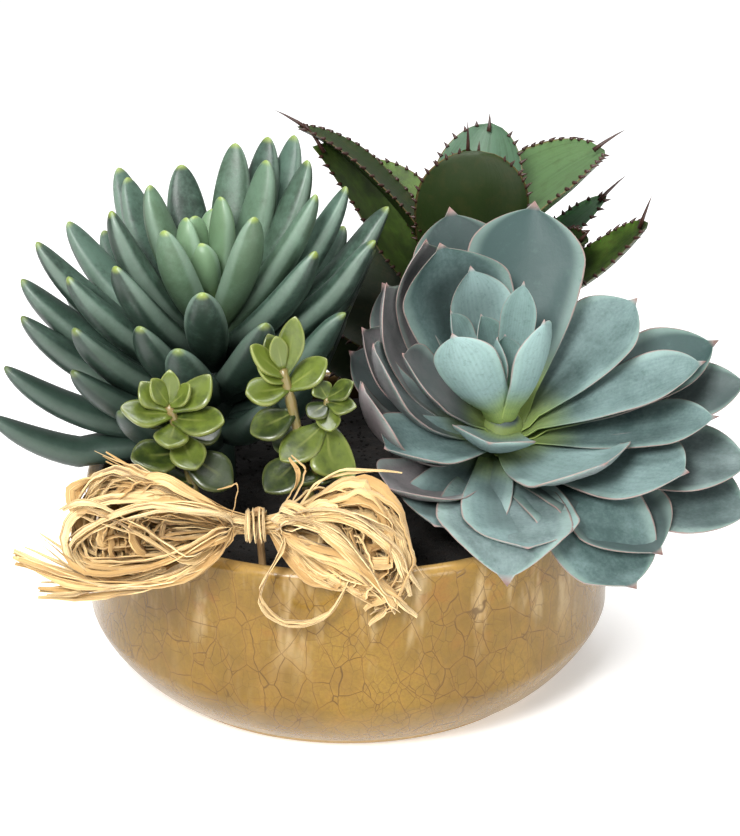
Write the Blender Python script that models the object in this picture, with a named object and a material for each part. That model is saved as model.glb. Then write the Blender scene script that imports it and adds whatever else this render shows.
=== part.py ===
"""Succulent dish garden: a glazed bowl of soil with five plants and a raffia bow.

All sizes below are millimetres and all angles degrees; the meshes are written in metres, +Z up.
The origin is the middle of the bowl's foot, and the front of the arrangement faces -Y.
"""

import math
import random
from dataclasses import dataclass, replace

import bmesh
import bpy
from mathutils import Matrix, Vector, noise

MM = 0.001
GAP = 0.3
NEEDLE = 0.002

# Bowl
BOWL_RADIUS = 90.0
FOOT_RADIUS = 71.5
BOWL_HEIGHT = 71.0
FLARE_HEIGHT = 24.0
FLARE_POWER = 1.3
WALL = 6.0
FLOOR = 7.0
FOOT_BAND = 2.0
RIM_ROUND = 3.0
TURNS = 32

# Soil
SOIL_TOP = 63.5
SOIL_BUMP = 1.4

# Plants: the middle of each crown, the foot of its stem in the soil, its axis and the depth of its seats
BLUE_CROWN = Vector((-46.0, 2.0, 103.0))
BLUE_FOOT = Vector((-45.0, 4.0, 38.0))
BLUE_AXIS = (-100.0, 87.0)
BLUE_DEPTH = 56.0
BACK_FINGERS = 12
ECHEVERIA_CROWN = Vector((52.0, -15.0, 88.0))
ECHEVERIA_FOOT = Vector((46.0, -8.0, 38.0))
ECHEVERIA_AXIS = (-75.0, 74.0)
ECHEVERIA_DEPTH = 14.0
AGAVE_CROWN = Vector((40.0, 53.0, 108.0))
AGAVE_FOOT = Vector((37.0, 50.0, 38.0))
AGAVE_AXIS = (-100.0, 80.0)
AGAVE_DEPTH = 24.5
AGAVE_TEETH = 5
TOOTHED_FROM = 0.32
TOOTHED_TO = 0.925
TOOTH_LEAN = 0.68
TOOTH = 1.9
JADE_LEFT = (Vector((-43.0, -55.0, 38.0)), Vector((-47.0, -58.0, 85.0)), Vector((-56.0, -60.0, 116.0)))
JADE_RIGHT = (Vector((-9.0, -52.0, 38.0)), Vector((-10.0, -57.0, 85.0)), Vector((-20.0, -57.0, 127.0)))
JADE_BRANCH = (Vector((-11.0, -56.0, 88.0)), Vector((-7.0, -59.0, 106.0)), Vector((-6.0, -59.0, 118.0)))
STEM_SIDES = 8

# Raffia bow
WAIST = Vector((-28.0, -82.0, 84.5))
WAIST_RADIUS = 3.6
WAIST_HALF = 4.4
TIE_THICK = 1.6
TIE_HALF = 3.0
STRAND_WIDTH = 3.0
STRAND_THICK = 0.9
STRAND_ROOT = 0.85
PICK_RADIUS = 1.2
PICK_FOOT = Vector((-25.0, -67.0, 36.0))
PICK_TIP = 7.0
LOOP_STEPS = 7
LOOSE_STEPS = 6


def heading(azimuth, pitch):
    """The unit direction with this azimuth (0 is +X, 90 is +Y) and pitch above the horizon."""
    a, p = math.radians(azimuth), math.radians(pitch)
    return Vector((math.cos(a) * math.cos(p), math.sin(a) * math.cos(p), math.sin(p)))


def soft_over(x, softness=1.4):
    """x where it is well above zero and zero well below it, with a smooth turn between."""
    return softness * math.log1p(math.exp(min(x / softness, 60.0)))


@dataclass(frozen=True)
class Limit:
    """A flat limit between two neighbours: a point on it and the direction of the plant's own side."""

    point: Vector
    normal: Vector
    clear: float = 0.6

    def opposite(self):
        return replace(self, normal=-self.normal)

    def push(self, ring):
        nearest = min((p - self.point).dot(self.normal) for p in ring)
        return self.normal * soft_over(self.clear - nearest)


def plane(point, normal):
    return Limit(Vector(point), Vector(normal).normalized())


# Limits between neighbours, each facing the first plant of its name
BLUE_OFF_ECHEVERIA = plane((-4.0, -25.0, 118.0), (-0.92, 0.145, 0.36))
BLUE_OFF_AGAVE = plane((0.0, 50.0, 100.0), (-0.485, -0.874, 0.0))
BLUE_OFF_JADE = plane((-20.0, -49.0, 135.0), (-0.23, 0.95, 0.19))
ECHEVERIA_OFF_AGAVE = plane((50.0, 33.0, 130.0), (0.0, -1.0, 0.0))
ECHEVERIA_OFF_JADE = plane((-1.0, -56.0, 105.0), (0.76, 0.64, -0.1))
ECHEVERIA_OFF_BOW = plane((10.0, -77.0, 85.0), (0.33, 0.944, 0.0))
JADE_OFF_BOW = plane((0.0, -72.0, 85.0), (0.0, 1.0, 0.12))
BLUE_OFF_BOW = plane((-90.0, -70.0, 90.0), (0.0, 1.0, 0.2))
JADES_APART = plane((-34.0, -60.0, 100.0), (-1.0, 0.0, 0.0))


def over_rim(ring):
    """The lift that carries a leaf's section clear over the rim and the soil."""
    lift = 0.0
    for p in ring:
        out = max(0.0, math.hypot(p.x, p.y) - BOWL_RADIUS - 1.5)
        lift = max(lift, BOWL_HEIGHT + 2.5 - 0.8 * out - p.z)
    return Vector((0.0, 0.0, soft_over(lift)))


def over_soil(ring):
    """The lift that carries a low leaf's section clear over the soil."""
    low = min(p.z for p in ring)
    return Vector((0.0, 0.0, soft_over(SOIL_TOP + SOIL_BUMP + 1.5 - low)))


def outside_bowl(ring):
    """The push that carries a hanging strand's section out past the wall of the bowl."""
    worst, push = 0.0, Vector((0.0, 0.0, 0.0))
    for p in ring:
        radius = math.hypot(p.x, p.y)
        sunk = BOWL_RADIUS + 1.2 + 0.6 * max(-6.0, min(0.0, BOWL_HEIGHT - p.z)) - radius
        if p.z < BOWL_HEIGHT + 8.0 and sunk > worst:
            worst = sunk
            push = Vector((p.x, p.y, 0.0)).normalized() * sunk
    return push


def clear_of(ring, limits):
    """Moves a section, as it is, to the plant's own side of every limit."""
    for _ in range(2):
        for limit in limits:
            shift = limit(ring) if callable(limit) else limit.push(ring)
            ring = [p + shift for p in ring]
    return ring


def material(name, colour, roughness):
    made = bpy.data.materials.new(name)
    made.use_nodes = True
    shader = made.node_tree.nodes["Principled BSDF"]
    shader.inputs["Base Color"].default_value = (*colour, 1.0)
    shader.inputs["Roughness"].default_value = roughness
    shader.inputs["Metallic"].default_value = 0.0
    return made


def add_object(name, mesh, finish=None, sharp=40.0):
    """Puts a bmesh in the scene as one object, in metres."""
    bmesh.ops.scale(mesh, vec=(MM, MM, MM), verts=mesh.verts)
    bmesh.ops.recalc_face_normals(mesh, faces=mesh.faces)
    data = bpy.data.meshes.new(name)
    mesh.to_mesh(data)
    mesh.free()
    data.shade_smooth()
    data.set_sharp_from_angle(angle=math.radians(sharp))
    made = bpy.data.objects.new(name, data)
    bpy.context.scene.collection.objects.link(made)
    if finish:
        data.materials.append(finish)
    return made


def turned(name, profile, finish=None, sides=TURNS):
    """A closed solid turned about Z from (radius, height) points; it starts and ends on the axis."""
    mesh = bmesh.new()
    first = mesh.verts.new((0.0, 0.0, profile[0][1]))
    last = mesh.verts.new((0.0, 0.0, profile[-1][1]))
    rings = []
    for radius, height in profile[1:-1]:
        turn = [2 * math.pi * i / sides for i in range(sides)]
        rings.append([mesh.verts.new((radius * math.cos(a), radius * math.sin(a), height)) for a in turn])
    join_rings(mesh, rings, first, last)
    return add_object(name, mesh, finish)


def join_rings(mesh, rings, first, last):
    """Bridges rings of vertices, and closes each end on one vertex."""
    count = len(rings[0])
    for i in range(count):
        j = (i + 1) % count
        mesh.faces.new((first, rings[0][j], rings[0][i]))
        mesh.faces.new((last, rings[-1][i], rings[-1][j]))
        for low, high in zip(rings, rings[1:]):
            mesh.faces.new((low[i], low[j], high[j], high[i]))


def lofted(name, rings, tip=None):
    """A closed solid through rings of points; its first end is flat and its last comes to the tip."""
    mesh = bmesh.new()
    made = [[mesh.verts.new(p) for p in ring] for ring in rings]
    first = mesh.verts.new(sum(rings[0], Vector()) / len(rings[0]))
    last = mesh.verts.new(tip if tip else sum(rings[-1], Vector()) / len(rings[-1]))
    join_rings(mesh, made, first, last)
    bmesh.ops.triangulate(mesh, faces=mesh.faces)
    return add_object(name, mesh)


def round_ring(centre, axis, radius, sides):
    """A circle of points about an axis."""
    side = axis.cross(Vector((0.31, 0.87, 0.38))).normalized()
    other = axis.cross(side).normalized()
    turn = [2 * math.pi * i / sides for i in range(sides)]
    return [centre + (side * math.cos(a) + other * math.sin(a)) * radius for a in turn]


def tube(name, points, radii, sides=STEM_SIDES):
    """A round stem through its points, closed at both ends."""
    rings = []
    for i, point in enumerate(points):
        before, after = points[max(i - 1, 0)], points[min(i + 1, len(points) - 1)]
        rings.append(round_ring(point, (after - before).normalized(), radii[i], sides))
    return lofted(name, rings)


def curve_points(controls, count):
    """Points along the quadratic or cubic curve with these control points."""
    points = []
    for i in range(count):
        t = i / (count - 1)
        stage = list(controls)
        while len(stage) > 1:
            stage = [a.lerp(b, t) for a, b in zip(stage, stage[1:])]
        points.append(stage[0])
    return points


def fused(name, core, pieces, finish, sharp=40.0, solver="EXACT"):
    """One closed solid: the core with every piece grown into it."""
    group = bpy.data.collections.new(name + "_pieces")
    bpy.context.scene.collection.children.link(group)
    for piece in pieces:
        bpy.context.scene.collection.objects.unlink(piece)
        group.objects.link(piece)
    union = core.modifiers.new("grown_together", "BOOLEAN")
    union.operation = "UNION"
    union.operand_type = "COLLECTION"
    union.collection = group
    union.solver = solver
    graph = bpy.context.evaluated_depsgraph_get()
    data = bpy.data.meshes.new_from_object(core.evaluated_get(graph))
    for piece in [core, *pieces]:
        bpy.data.objects.remove(piece)
    bpy.data.collections.remove(group)
    data.name = name
    data.materials.clear()
    data.materials.append(finish)
    drop_scraps(data)
    data.shade_smooth()
    data.set_sharp_from_angle(angle=math.radians(sharp))
    made = bpy.data.objects.new(name, data)
    bpy.context.scene.collection.objects.link(made)
    return made


def drop_scraps(data):
    """Keeps the largest connected body of a fused mesh, without its needle triangles."""
    mesh = bmesh.new()
    mesh.from_mesh(data)
    bmesh.ops.triangulate(mesh, faces=mesh.faces)
    bmesh.ops.dissolve_degenerate(mesh, dist=NEEDLE * MM, edges=mesh.edges)
    bmesh.ops.triangulate(mesh, faces=mesh.faces)
    left = set(mesh.verts)
    bodies = []
    while left:
        start = left.pop()
        body, queue = {start}, [start]
        while queue:
            for edge in queue.pop().link_edges:
                for vert in edge.verts:
                    if vert in left:
                        left.remove(vert)
                        body.add(vert)
                        queue.append(vert)
        bodies.append(body)
    bodies.sort(key=len)
    for body in bodies[:-1]:
        bmesh.ops.delete(mesh, geom=list(body), context="VERTS")
    mesh.to_mesh(data)
    mesh.free()


@dataclass(frozen=True)
class Leaf:
    """One leaf: where it points and how big it is."""

    azimuth: float
    pitch: float
    length: float
    width: float
    curl: float = 0.0
    seat: float = 0.0
    roll: float = 0.0
    cup: float = 1.0


@dataclass(frozen=True)
class Placed:
    """One leaf by its tip, its seat from low (0) to high (1), and its shape."""

    tip: tuple
    seat: float
    width: float
    curl: float = 20.0
    cup: float = 1.0
    roll: float = 0.0


@dataclass(frozen=True)
class Form:
    """A kind of leaf: its outline and thickness along its length, its section, its tip and its teeth."""

    stations: tuple
    half_width: object
    thickness: object
    section: object
    tip: float = 1.0
    tooth: float = 0.0


@dataclass(frozen=True)
class Crown:
    """Where a rosette's leaves grow: the middle of the crown, its axis, and the depth of their seats."""

    middle: Vector
    axis: Vector
    depth: float


def leaf_solid(leaf, crown, form, limits):
    """One leaf as a closed solid, grown from its seat and bent clear of the limits."""
    way = heading(leaf.azimuth, leaf.pitch)
    up = (crown.axis - way * crown.axis.dot(way)).normalized()
    side = way.cross(up).normalized()
    side.rotate(Matrix.Rotation(math.radians(leaf.roll), 3, way))
    up = side.cross(way).normalized()
    centre = crown.middle + crown.axis * crown.depth * (leaf.seat - 0.5) + way
    rings, at = [], 0.0
    for step, t in enumerate((*form.stations, form.tip)):
        turn = math.radians(leaf.curl) * (0.5 * (at + t) - 0.5)
        ahead = way * math.cos(turn) + up * math.sin(turn)
        centre = centre + ahead * (t - at) * leaf.length
        at = t
        normal = up * math.cos(turn) - way * math.sin(turn)
        if t == form.tip:
            tip = clear_of([centre, centre + side * 0.4], limits)[0]
            break
        half = form.half_width(t) * leaf.width / 2 + (form.tooth if step % 2 == 0 and t < TOOTHED_TO else 0.0)
        shape = form.section(half, form.thickness(t) * leaf.width)
        ring = [centre + side * x + normal * y * (leaf.cup if x else 1.0) for x, y in shape]
        rings.append(clear_of(ring, limits) if t > 0.12 else ring)
    return lofted("leaf", rings, tip)


def leaf_to(placed, crown):
    """The leaf that reaches from its seat on a crown to its tip."""
    way = Vector(placed.tip) - crown.middle - crown.axis * crown.depth * (placed.seat - 0.5)
    azimuth = math.degrees(math.atan2(way.y, way.x))
    pitch = math.degrees(math.asin(way.normalized().z))
    return Leaf(azimuth, pitch, way.length, placed.width, placed.curl, placed.seat, placed.roll, placed.cup)


def swell(t, widest, base, power=2.0):
    """An outline that grows from its base to its widest place, then rounds in to the tip."""
    if t < widest:
        return base + (1 - base) * math.sin(0.5 * math.pi * t / widest) ** 1.3
    return (1 - ((t - widest) / (1.0 - widest)) ** power) ** (1 / power)


def cusped(t, widest, base, fullness, sharpness):
    """An outline that grows to its widest place, stays full, then draws in to a short point."""
    if t < widest:
        return swell(t, widest, base)
    s = min((t - widest) / (1.0 - widest), 1.0)
    return (1 - s ** fullness) ** sharpness


def finger_section(half, thick):
    """A plump section, flatter on its upper side."""
    return [(-half, 0), (0, 0.55 * thick), (half, 0), (0, -thick)]


def spoon_section(half, thick):
    """A broad section, hollow above."""
    return [(-half, 0.26 * half), (0, 0), (half, 0.26 * half), (0, -thick)]


def plump_section(half, thick):
    """A small fat section."""
    return [(-half, 0.1 * half), (0, 0.5 * thick), (half, 0.1 * half), (0, -0.9 * thick)]


def toothed_section(half, thick):
    """A guttered section between two sharp margins."""
    return [(-half, 0.28 * half), (0, 0), (half, 0.28 * half), (0, -thick)]


def toothed_stations():
    """Valley and tooth in turn along an agave leaf, with the teeth leaning to its tip, and its end spine."""
    pitch = (TOOTHED_TO - TOOTHED_FROM) / AGAVE_TEETH
    places = []
    for i in range(AGAVE_TEETH):
        places += [TOOTHED_FROM + pitch * i, TOOTHED_FROM + pitch * (i + TOOTH_LEAN)]
    return (0.0, *places, TOOTHED_TO, 0.965, 0.995)


FINGER = Form(
    (0.0, 0.36, 0.72, 0.93),
    lambda t: cusped(t, 0.58, 0.58, 2.15, 0.62),
    lambda t: 0.45 * cusped(t, 0.5, 0.7, 2.2, 0.6),
    finger_section,
)
SPOON = Form(
    (0.0, 0.38, 0.74, 0.93),
    lambda t: cusped(t, 0.77, 0.3, 2.0, 0.76),
    lambda t: 0.085 * swell(t, 0.3, 0.9, 2.0) + 0.012,
    spoon_section,
)
PLUMP = Form(
    (0.0, 0.5, 0.87),
    lambda t: cusped(t, 0.6, 0.3, 1.9, 0.62),
    lambda t: 0.28 * cusped(t, 0.5, 0.7, 2.2, 0.5),
    plump_section,
)
TOOTHED = Form(
    toothed_stations(),
    lambda t: cusped(t, 0.6, 0.6, 2.3, 0.6),
    lambda t: 0.13 * (1 - t) + 0.035,
    toothed_section,
    1.13,
    TOOTH,
)

# Blue-chalk fingers: the tip's x, y and z, and the seat from low (0) to high (1)
FINGER_TIPS = (
    # Heart: the tip's x, y and z, and the seat from low (0) to high (1)
    (-48, -8, 151, 0.96), (-53, -5, 159, 0.92), (-51, 3, 157, 0.94), (-42, 2, 164, 0.9), (-45, 8, 158, 0.93),
    # Upright round the heart
    (-59, -22, 160, 0.76), (-30, -20, 164, 0.76), (-66, 6, 167, 0.76), (-27, 16, 173, 0.74), (-38, 26, 176, 0.68),
    (-10, -8, 168, 0.7), (-46, -40, 145, 0.58), (-78, -6, 162, 0.62), (-75, 20, 166, 0.6), (-57, 28, 168, 0.6),
    # Right, from the top down
    (-27, 32, 177, 0.56), (-18, 34, 177, 0.5), (-13, 12, 174, 0.66), (0, 5, 167, 0.58), (-10, -22, 153, 0.6),
    (15, 15, 157, 0.5), (11, -12, 153, 0.5), (2, -25, 132, 0.36), (8, 4, 142, 0.4),
    # Left, from the top down
    (-79, 32, 166, 0.5), (-95, 14, 152, 0.5), (-85, 30, 144, 0.4), (-104, -2, 150, 0.46), (-75, -28, 150, 0.56),
    (-92, -18, 143, 0.46), (-110, -2, 137, 0.36), (-109, -14, 128, 0.26), (-89, -34, 131, 0.32),
    (-116, -16, 111, 0.12), (-122, -20, 95, 0.0), (-90, -36, 117, 0.2),
    # Front, low
    (-67, -38, 133, 0.38), (-54, -46, 128, 0.36), (-26, -38, 134, 0.38), (-74, -42, 105, 0.1), (-52, -44, 104, 0.1),
    (-24, -40, 108, 0.14), (-4, -33, 112, 0.18),
    # Right, behind the echeveria's edge
    (13, 14, 141, 0.3), (7, 2, 124, 0.16), (-2, -14, 117, 0.2), (2, 26, 112, 0.08),
)

ECHEVERIA_LEAVES = (
    # Bud
    Placed((44, -18, 129), 1.0, 15.0, 24.0, 1.5),
    Placed((49, -26, 124), 1.0, 14.0, 24.0, 1.5),
    Placed((52, -18, 122), 1.0, 12.0, 20.0, 1.5),
    # Leaves round the bud
    Placed((34, -36, 129), 0.85, 22.0, 46.0, 0.8, 60.0),
    Placed((64, -34, 133), 0.85, 22.0, 40.0, 1.2),
    Placed((34, -17, 130), 0.8, 15.0, 34.0, 1.4),
    Placed((58, -15, 139), 0.8, 12.0, 20.0, 1.4),
    Placed((41, -2, 140), 0.7, 24.0, 30.0, 1.5),
    # Tall back leaves
    Placed((63, 18, 155), 0.5, 40.0, 8.0, 0.8),
    Placed((30, 1, 150), 0.55, 38.0, 66.0, 1.5, -30.0),
    Placed((35, 25, 151), 0.35, 38.0, 20.0),
    Placed((22, 4, 156), 0.3, 30.0, 100.0),
    Placed((9, -10, 141), 0.2, 30.0, 84.0),
    # Right, from the top down
    Placed((97, 5, 126), 0.55, 31.0, 22.0),
    Placed((124, 2, 112), 0.4, 34.0, 20.0),
    Placed((117, -20, 113), 0.5, 26.0, 18.0),
    Placed((134, -6, 101), 0.25, 32.0, 16.0),
    Placed((121, -28, 97), 0.35, 26.0, 18.0, 0.6),
    Placed((133, -29, 81), 0.15, 38.0, 14.0, 0.5),
    Placed((110, -49, 86), 0.4, 40.0, 34.0, 0.4),
    Placed((131, -42, 68), 0.05, 42.0, 8.0, 0.5),
    # Front, from the right to the left
    Placed((84, -56, 92), 0.4, 42.0, 55.0, 0.3),
    Placed((100, -64, 65), 0.1, 40.0, 10.0),
    Placed((91, -77, 59), 0.15, 40.0, 24.0, 0.5),
    Placed((46, -48, 96), 0.6, 28.0, 50.0, 1.2),
    Placed((57, -83, 75), 0.3, 38.0, 34.0, 0.5),
    Placed((50, -88, 61), 0.0, 44.0, 34.0, 0.5),
    Placed((28, -73, 78), 0.35, 35.0, 36.0, 0.6),
    # Left, from the bottom up
    Placed((13, -65, 87), 0.1, 30.0, 50.0),
    Placed((13, -50, 95), 0.45, 32.0, 20.0),
    Placed((-2, -45, 117), 0.15, 30.0, 104.0),
    Placed((5, -36, 127), 0.4, 30.0, 80.0),
    Placed((18, -25, 118), 0.5, 28.0, 40.0),
    # Behind
    Placed((88, 27, 114), 0.25, 36.0, 16.0),
    Placed((112, 18, 100), 0.15, 38.0, 14.0),
    Placed((70, 30, 100), 0.05, 38.0, 14.0),
    Placed((20, 20, 116), 0.15, 36.0, 30.0),
)

AGAVE_LEAVES = (
    # Heart, the broad leaf in front of it and the pale one behind
    Placed((42, 50, 167), 0.9, 15.0, 6.0),
    Placed((45, 36, 170), 0.6, 40.0, 10.0, 0.5, -50.0),
    Placed((51, 76, 169), 0.6, 34.0, 4.0),
    # Right, from the top down
    Placed((92, 66, 163), 0.5, 50.0, -40.0, 1.0, -14.0),
    Placed((93, 72, 143), 0.3, 20.0, 6.0),
    Placed((107, 46, 142), 0.2, 32.0, 40.0),
    # Left, from the top down
    Placed((-20, 66, 172), 0.55, 26.0, -45.0, 0.6, 22.0),
    Placed((-14, 58, 165), 0.3, 30.0, 16.0, 0.6),
    # Back
    Placed((4, 92, 150), 0.3, 32.0, -10.0),
    Placed((66, 106, 142), 0.1, 32.0, -10.0),
    Placed((18, 112, 134), 0.05, 32.0, -12.0),
)

# Jade leaves, with their seats as shares of the way up the stem
JADE_LEFT_LEAVES = (
    Placed((-66, -55, 125), 0.97, 10.5, 24.0),
    Placed((-43, -55, 125), 0.97, 11.5, 24.0),
    Placed((-71, -64, 117), 0.95, 11.0, 24.0),
    Placed((-38, -66, 113), 0.93, 12.5, 24.0),
    Placed((-56, -70, 106), 0.9, 11.5, 40.0),
    Placed((-56, -57, 128), 1.0, 7.0, 24.0),
    Placed((-61, -62, 126), 1.0, 7.5, 24.0),
    Placed((-49, -62, 124), 0.99, 7.5, 40.0),
    Placed((-47, -70, 98), 0.84, 12.0, 40.0),
    Placed((-68, -67, 101), 0.76, 14.5, 24.0),
    Placed((-34, -64, 90), 0.74, 15.0, 30.0),
    Placed((-56, -50, 122), 0.92, 10.0, 24.0),
    Placed((-61, -64, 92), 0.6, 13.0, 24.0),
    Placed((-64, -50, 114), 0.88, 10.0, 24.0),
    Placed((-40, -52, 106), 0.84, 11.0, 24.0),
)

JADE_RIGHT_LEAVES = (
    Placed((-16, -54, 144), 0.98, 9.0, 24.0),
    Placed((-30, -62, 137), 0.98, 9.0, 24.0),
    Placed((-6, -55, 130), 0.93, 11.0, 24.0),
    Placed((-33, -62, 121), 0.92, 12.0, 24.0),
    Placed((-22, -59, 139), 1.0, 6.5, 24.0),
    Placed((-25, -52, 138), 0.97, 8.0, 24.0),
    Placed((-28, -60, 130), 0.96, 7.0, 40.0),
    Placed((-31, -61, 107), 0.82, 13.0, 24.0),
    Placed((-26, -64, 88), 0.64, 14.0, 24.0),
    Placed((-15, -62, 90), 0.6, 12.0, 40.0),
    Placed((-24, -54, 102), 0.72, 12.0, 24.0),
    Placed((-2, -52, 100), 0.66, 12.0, 24.0),
)

JADE_BRANCH_LEAVES = (
    Placed((4, -59, 124), 1.0, 8.0, 24.0),
    Placed((4, -63, 117), 0.95, 8.0, 24.0),
    Placed((-9, -57, 123), 1.0, 7.5, 24.0),
    Placed((-12, -64, 114), 0.92, 8.0, 24.0),
    Placed((-21, -67, 100), 0.66, 13.0, 36.0),
    Placed((-5, -67, 110), 0.9, 8.0, 36.0),
    Placed((3, -67, 94), 0.62, 15.0, 36.0),
    Placed((-1, -56, 114), 0.85, 8.0, 24.0),
    Placed((2, -56, 105), 0.5, 10.0, 24.0),
    Placed((0, -59, 92), 0.2, 11.0, 30.0),
)


def make_bowl():
    """The glazed bowl: a flat foot, a flared wall and a rounded rim."""
    rise = FLARE_HEIGHT - FOOT_BAND

    def outer(height):
        t = min(max(height - FOOT_BAND, 0.0) / rise, 1.0)
        spread = (1 - (1 - t) ** FLARE_POWER) ** (1 / FLARE_POWER)
        return FOOT_RADIUS + (BOWL_RADIUS - FOOT_RADIUS) * spread

    flare = [FOOT_BAND + rise * s for s in (0.0, 0.08, 0.22, 0.42, 0.7, 1.0)]
    top = BOWL_HEIGHT - RIM_ROUND
    rim = [BOWL_RADIUS - RIM_ROUND + RIM_ROUND * math.cos(math.radians(a)) for a in (0, 45, 90, 135, 180)]
    rim_z = [top + RIM_ROUND * math.sin(math.radians(a)) for a in (0, 45, 90, 135, 180)]
    inside = [FLARE_HEIGHT + 4.0, 14.0]
    profile = [(0.0, 0.0), (FOOT_RADIUS - 1.6, 0.0), (FOOT_RADIUS - 1.0, 0.6), (FOOT_RADIUS - 1.0, FOOT_BAND)]
    profile += [(outer(z), z + (0.2 if z == FOOT_BAND else 0.0)) for z in flare]
    profile += list(zip(rim, rim_z))
    profile += [(outer(z) - WALL, z) for z in inside]
    profile += [(outer(FLOOR) - WALL - 4.0, FLOOR), (0.0, FLOOR)]
    return turned("bowl", profile, material("glaze", (0.52, 0.33, 0.10), 0.22)), outer


def make_soil(outer):
    """The soil: it fills the bowl, with a lumpy top and a plain hole for every stem."""
    snug = math.cos(math.pi / TURNS)
    profile = [(0.0, FLOOR + GAP), (outer(FLOOR) - WALL - 4.0 - GAP, FLOOR + GAP)]
    profile += [((outer(z) - WALL) * snug - 2 * GAP, z + GAP) for z in (14.0, FLARE_HEIGHT + 4.0, SOIL_TOP - 2.0)]
    profile += [(77.0, SOIL_TOP), (55.0, SOIL_TOP), (30.0, SOIL_TOP), (0.0, SOIL_TOP)]
    soil = turned("soil", profile, material("soil", (0.035, 0.022, 0.014), 0.95))
    for vert in soil.data.vertices:
        if vert.co.z > (SOIL_TOP - 1.0) * MM:
            vert.co.z += SOIL_BUMP * MM * noise.noise(Vector(vert.co) / (9.0 * MM))
    return soil


def cut_hole(solid, low, high, radius):
    """A plain round hole along a stem, from just under its foot to above the soil."""
    way = (high - low).normalized()
    sides = 12
    wide = (radius + GAP) / math.cos(math.pi / sides)
    ends = [low - way * GAP * 2, high + way * 2.0]
    cutter = lofted("hole_cutter", [round_ring(end, way, wide, sides) for end in ends])
    cutter.hide_render = True
    cutter.display_type = "WIRE"
    cut = solid.modifiers.new("stem_hole", "BOOLEAN")
    cut.operation = "DIFFERENCE"
    cut.object = cutter
    cut.solver = "EXACT"


def stem_hole(soil, foot, above, radius):
    """Cuts the hole of a stem that leaves the soil on its way from its foot to a point above."""
    t = (SOIL_TOP + 4.0 - foot.z) / (above.z - foot.z)
    cut_hole(soil, foot, foot.lerp(above, t), radius)


def make_blue_rosette(soil):
    """The blue-chalk plant: finger leaves up a short stem, placed in front and by a rule behind."""
    limits = (BLUE_OFF_ECHEVERIA, BLUE_OFF_AGAVE, BLUE_OFF_JADE, BLUE_OFF_BOW, over_rim)
    draw = random.Random(11)
    axis = heading(*BLUE_AXIS)
    crown = Crown(BLUE_CROWN, axis, BLUE_DEPTH)
    tips = list(FINGER_TIPS)
    for i in range(BACK_FINGERS):
        share = (i + 0.5) / BACK_FINGERS
        azimuth = 18 + 144 * ((0.382 * i + 0.3) % 1.0)
        tip = BLUE_CROWN + heading(azimuth, 48 - 34 * share) * (64 + draw.uniform(-4, 4))
        tips.append((tip.x, tip.y, tip.z, 0.5 - 0.4 * share))
    fingers = []
    for x, y, z, seat in tips:
        width = 11.0 + 3.4 * min(1.0, 2.5 * (1 - seat)) + draw.uniform(-0.5, 0.5)
        curl = 14 + 32 * (1 - seat) + draw.uniform(-4, 4)
        fingers.append(leaf_solid(leaf_to(Placed((x, y, z), seat, width, curl), crown), crown, FINGER, limits))
    core = tube(
        "stem",
        [BLUE_FOOT, BLUE_FOOT.lerp(BLUE_CROWN, 0.6), BLUE_CROWN - axis * 17, BLUE_CROWN + axis * 26],
        [6.0, 6.5, 9.0, 6.0],
    )
    stem_hole(soil, BLUE_FOOT, BLUE_CROWN, 6.5)
    return fused("blue_chalk_rosette", core, fingers, material("blue_leaf", (0.07, 0.17, 0.16), 0.5))


def make_echeveria(soil):
    """The echeveria: broad hollow leaves round a bud that leans to the front."""
    limits = (BLUE_OFF_ECHEVERIA.opposite(), ECHEVERIA_OFF_AGAVE, ECHEVERIA_OFF_JADE, ECHEVERIA_OFF_BOW, over_rim)
    axis = heading(*ECHEVERIA_AXIS)
    crown = Crown(ECHEVERIA_CROWN, axis, ECHEVERIA_DEPTH)
    leaves = [leaf_solid(leaf_to(placed, crown), crown, SPOON, limits) for placed in ECHEVERIA_LEAVES]
    core = tube(
        "stem",
        [ECHEVERIA_FOOT, ECHEVERIA_FOOT.lerp(ECHEVERIA_CROWN, 0.6), ECHEVERIA_CROWN - axis * 12,
         ECHEVERIA_CROWN + axis * 12],
        [7.0, 7.0, 10.0, 7.0],
    )
    stem_hole(soil, ECHEVERIA_FOOT, ECHEVERIA_CROWN, 7.0)
    return fused("echeveria", core, leaves, material("echeveria_leaf", (0.16, 0.27, 0.27), 0.55), solver="MANIFOLD")


def make_agave(soil):
    """The agave: toothed leaves with end spines behind the two rosettes."""
    limits = (BLUE_OFF_AGAVE.opposite(), ECHEVERIA_OFF_AGAVE.opposite(), over_rim)
    axis = heading(*AGAVE_AXIS)
    crown = Crown(AGAVE_CROWN, axis, AGAVE_DEPTH)
    leaves = [leaf_solid(leaf_to(placed, crown), crown, TOOTHED, limits) for placed in AGAVE_LEAVES]
    core = tube(
        "stem",
        [AGAVE_FOOT, AGAVE_FOOT.lerp(AGAVE_CROWN, 0.6), AGAVE_CROWN - axis * 14, AGAVE_CROWN + axis * 10],
        [8.0, 8.0, 10.0, 7.0],
    )
    stem_hole(soil, AGAVE_FOOT, AGAVE_CROWN, 8.0)
    return fused("agave", core, leaves, material("agave_leaf", (0.10, 0.22, 0.08), 0.45), solver="MANIFOLD")


def stem_leaves(path, leaves, limits):
    """Plump leaves, each from its seat on a stem's path to its own tip."""
    points = curve_points(path, 41)
    grown = []
    for placed in leaves:
        crown = Crown(points[round(placed.seat * 40)], heading(-90, 60), 0.0)
        grown.append(leaf_solid(leaf_to(placed, crown), crown, PLUMP, limits))
    return grown


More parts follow.
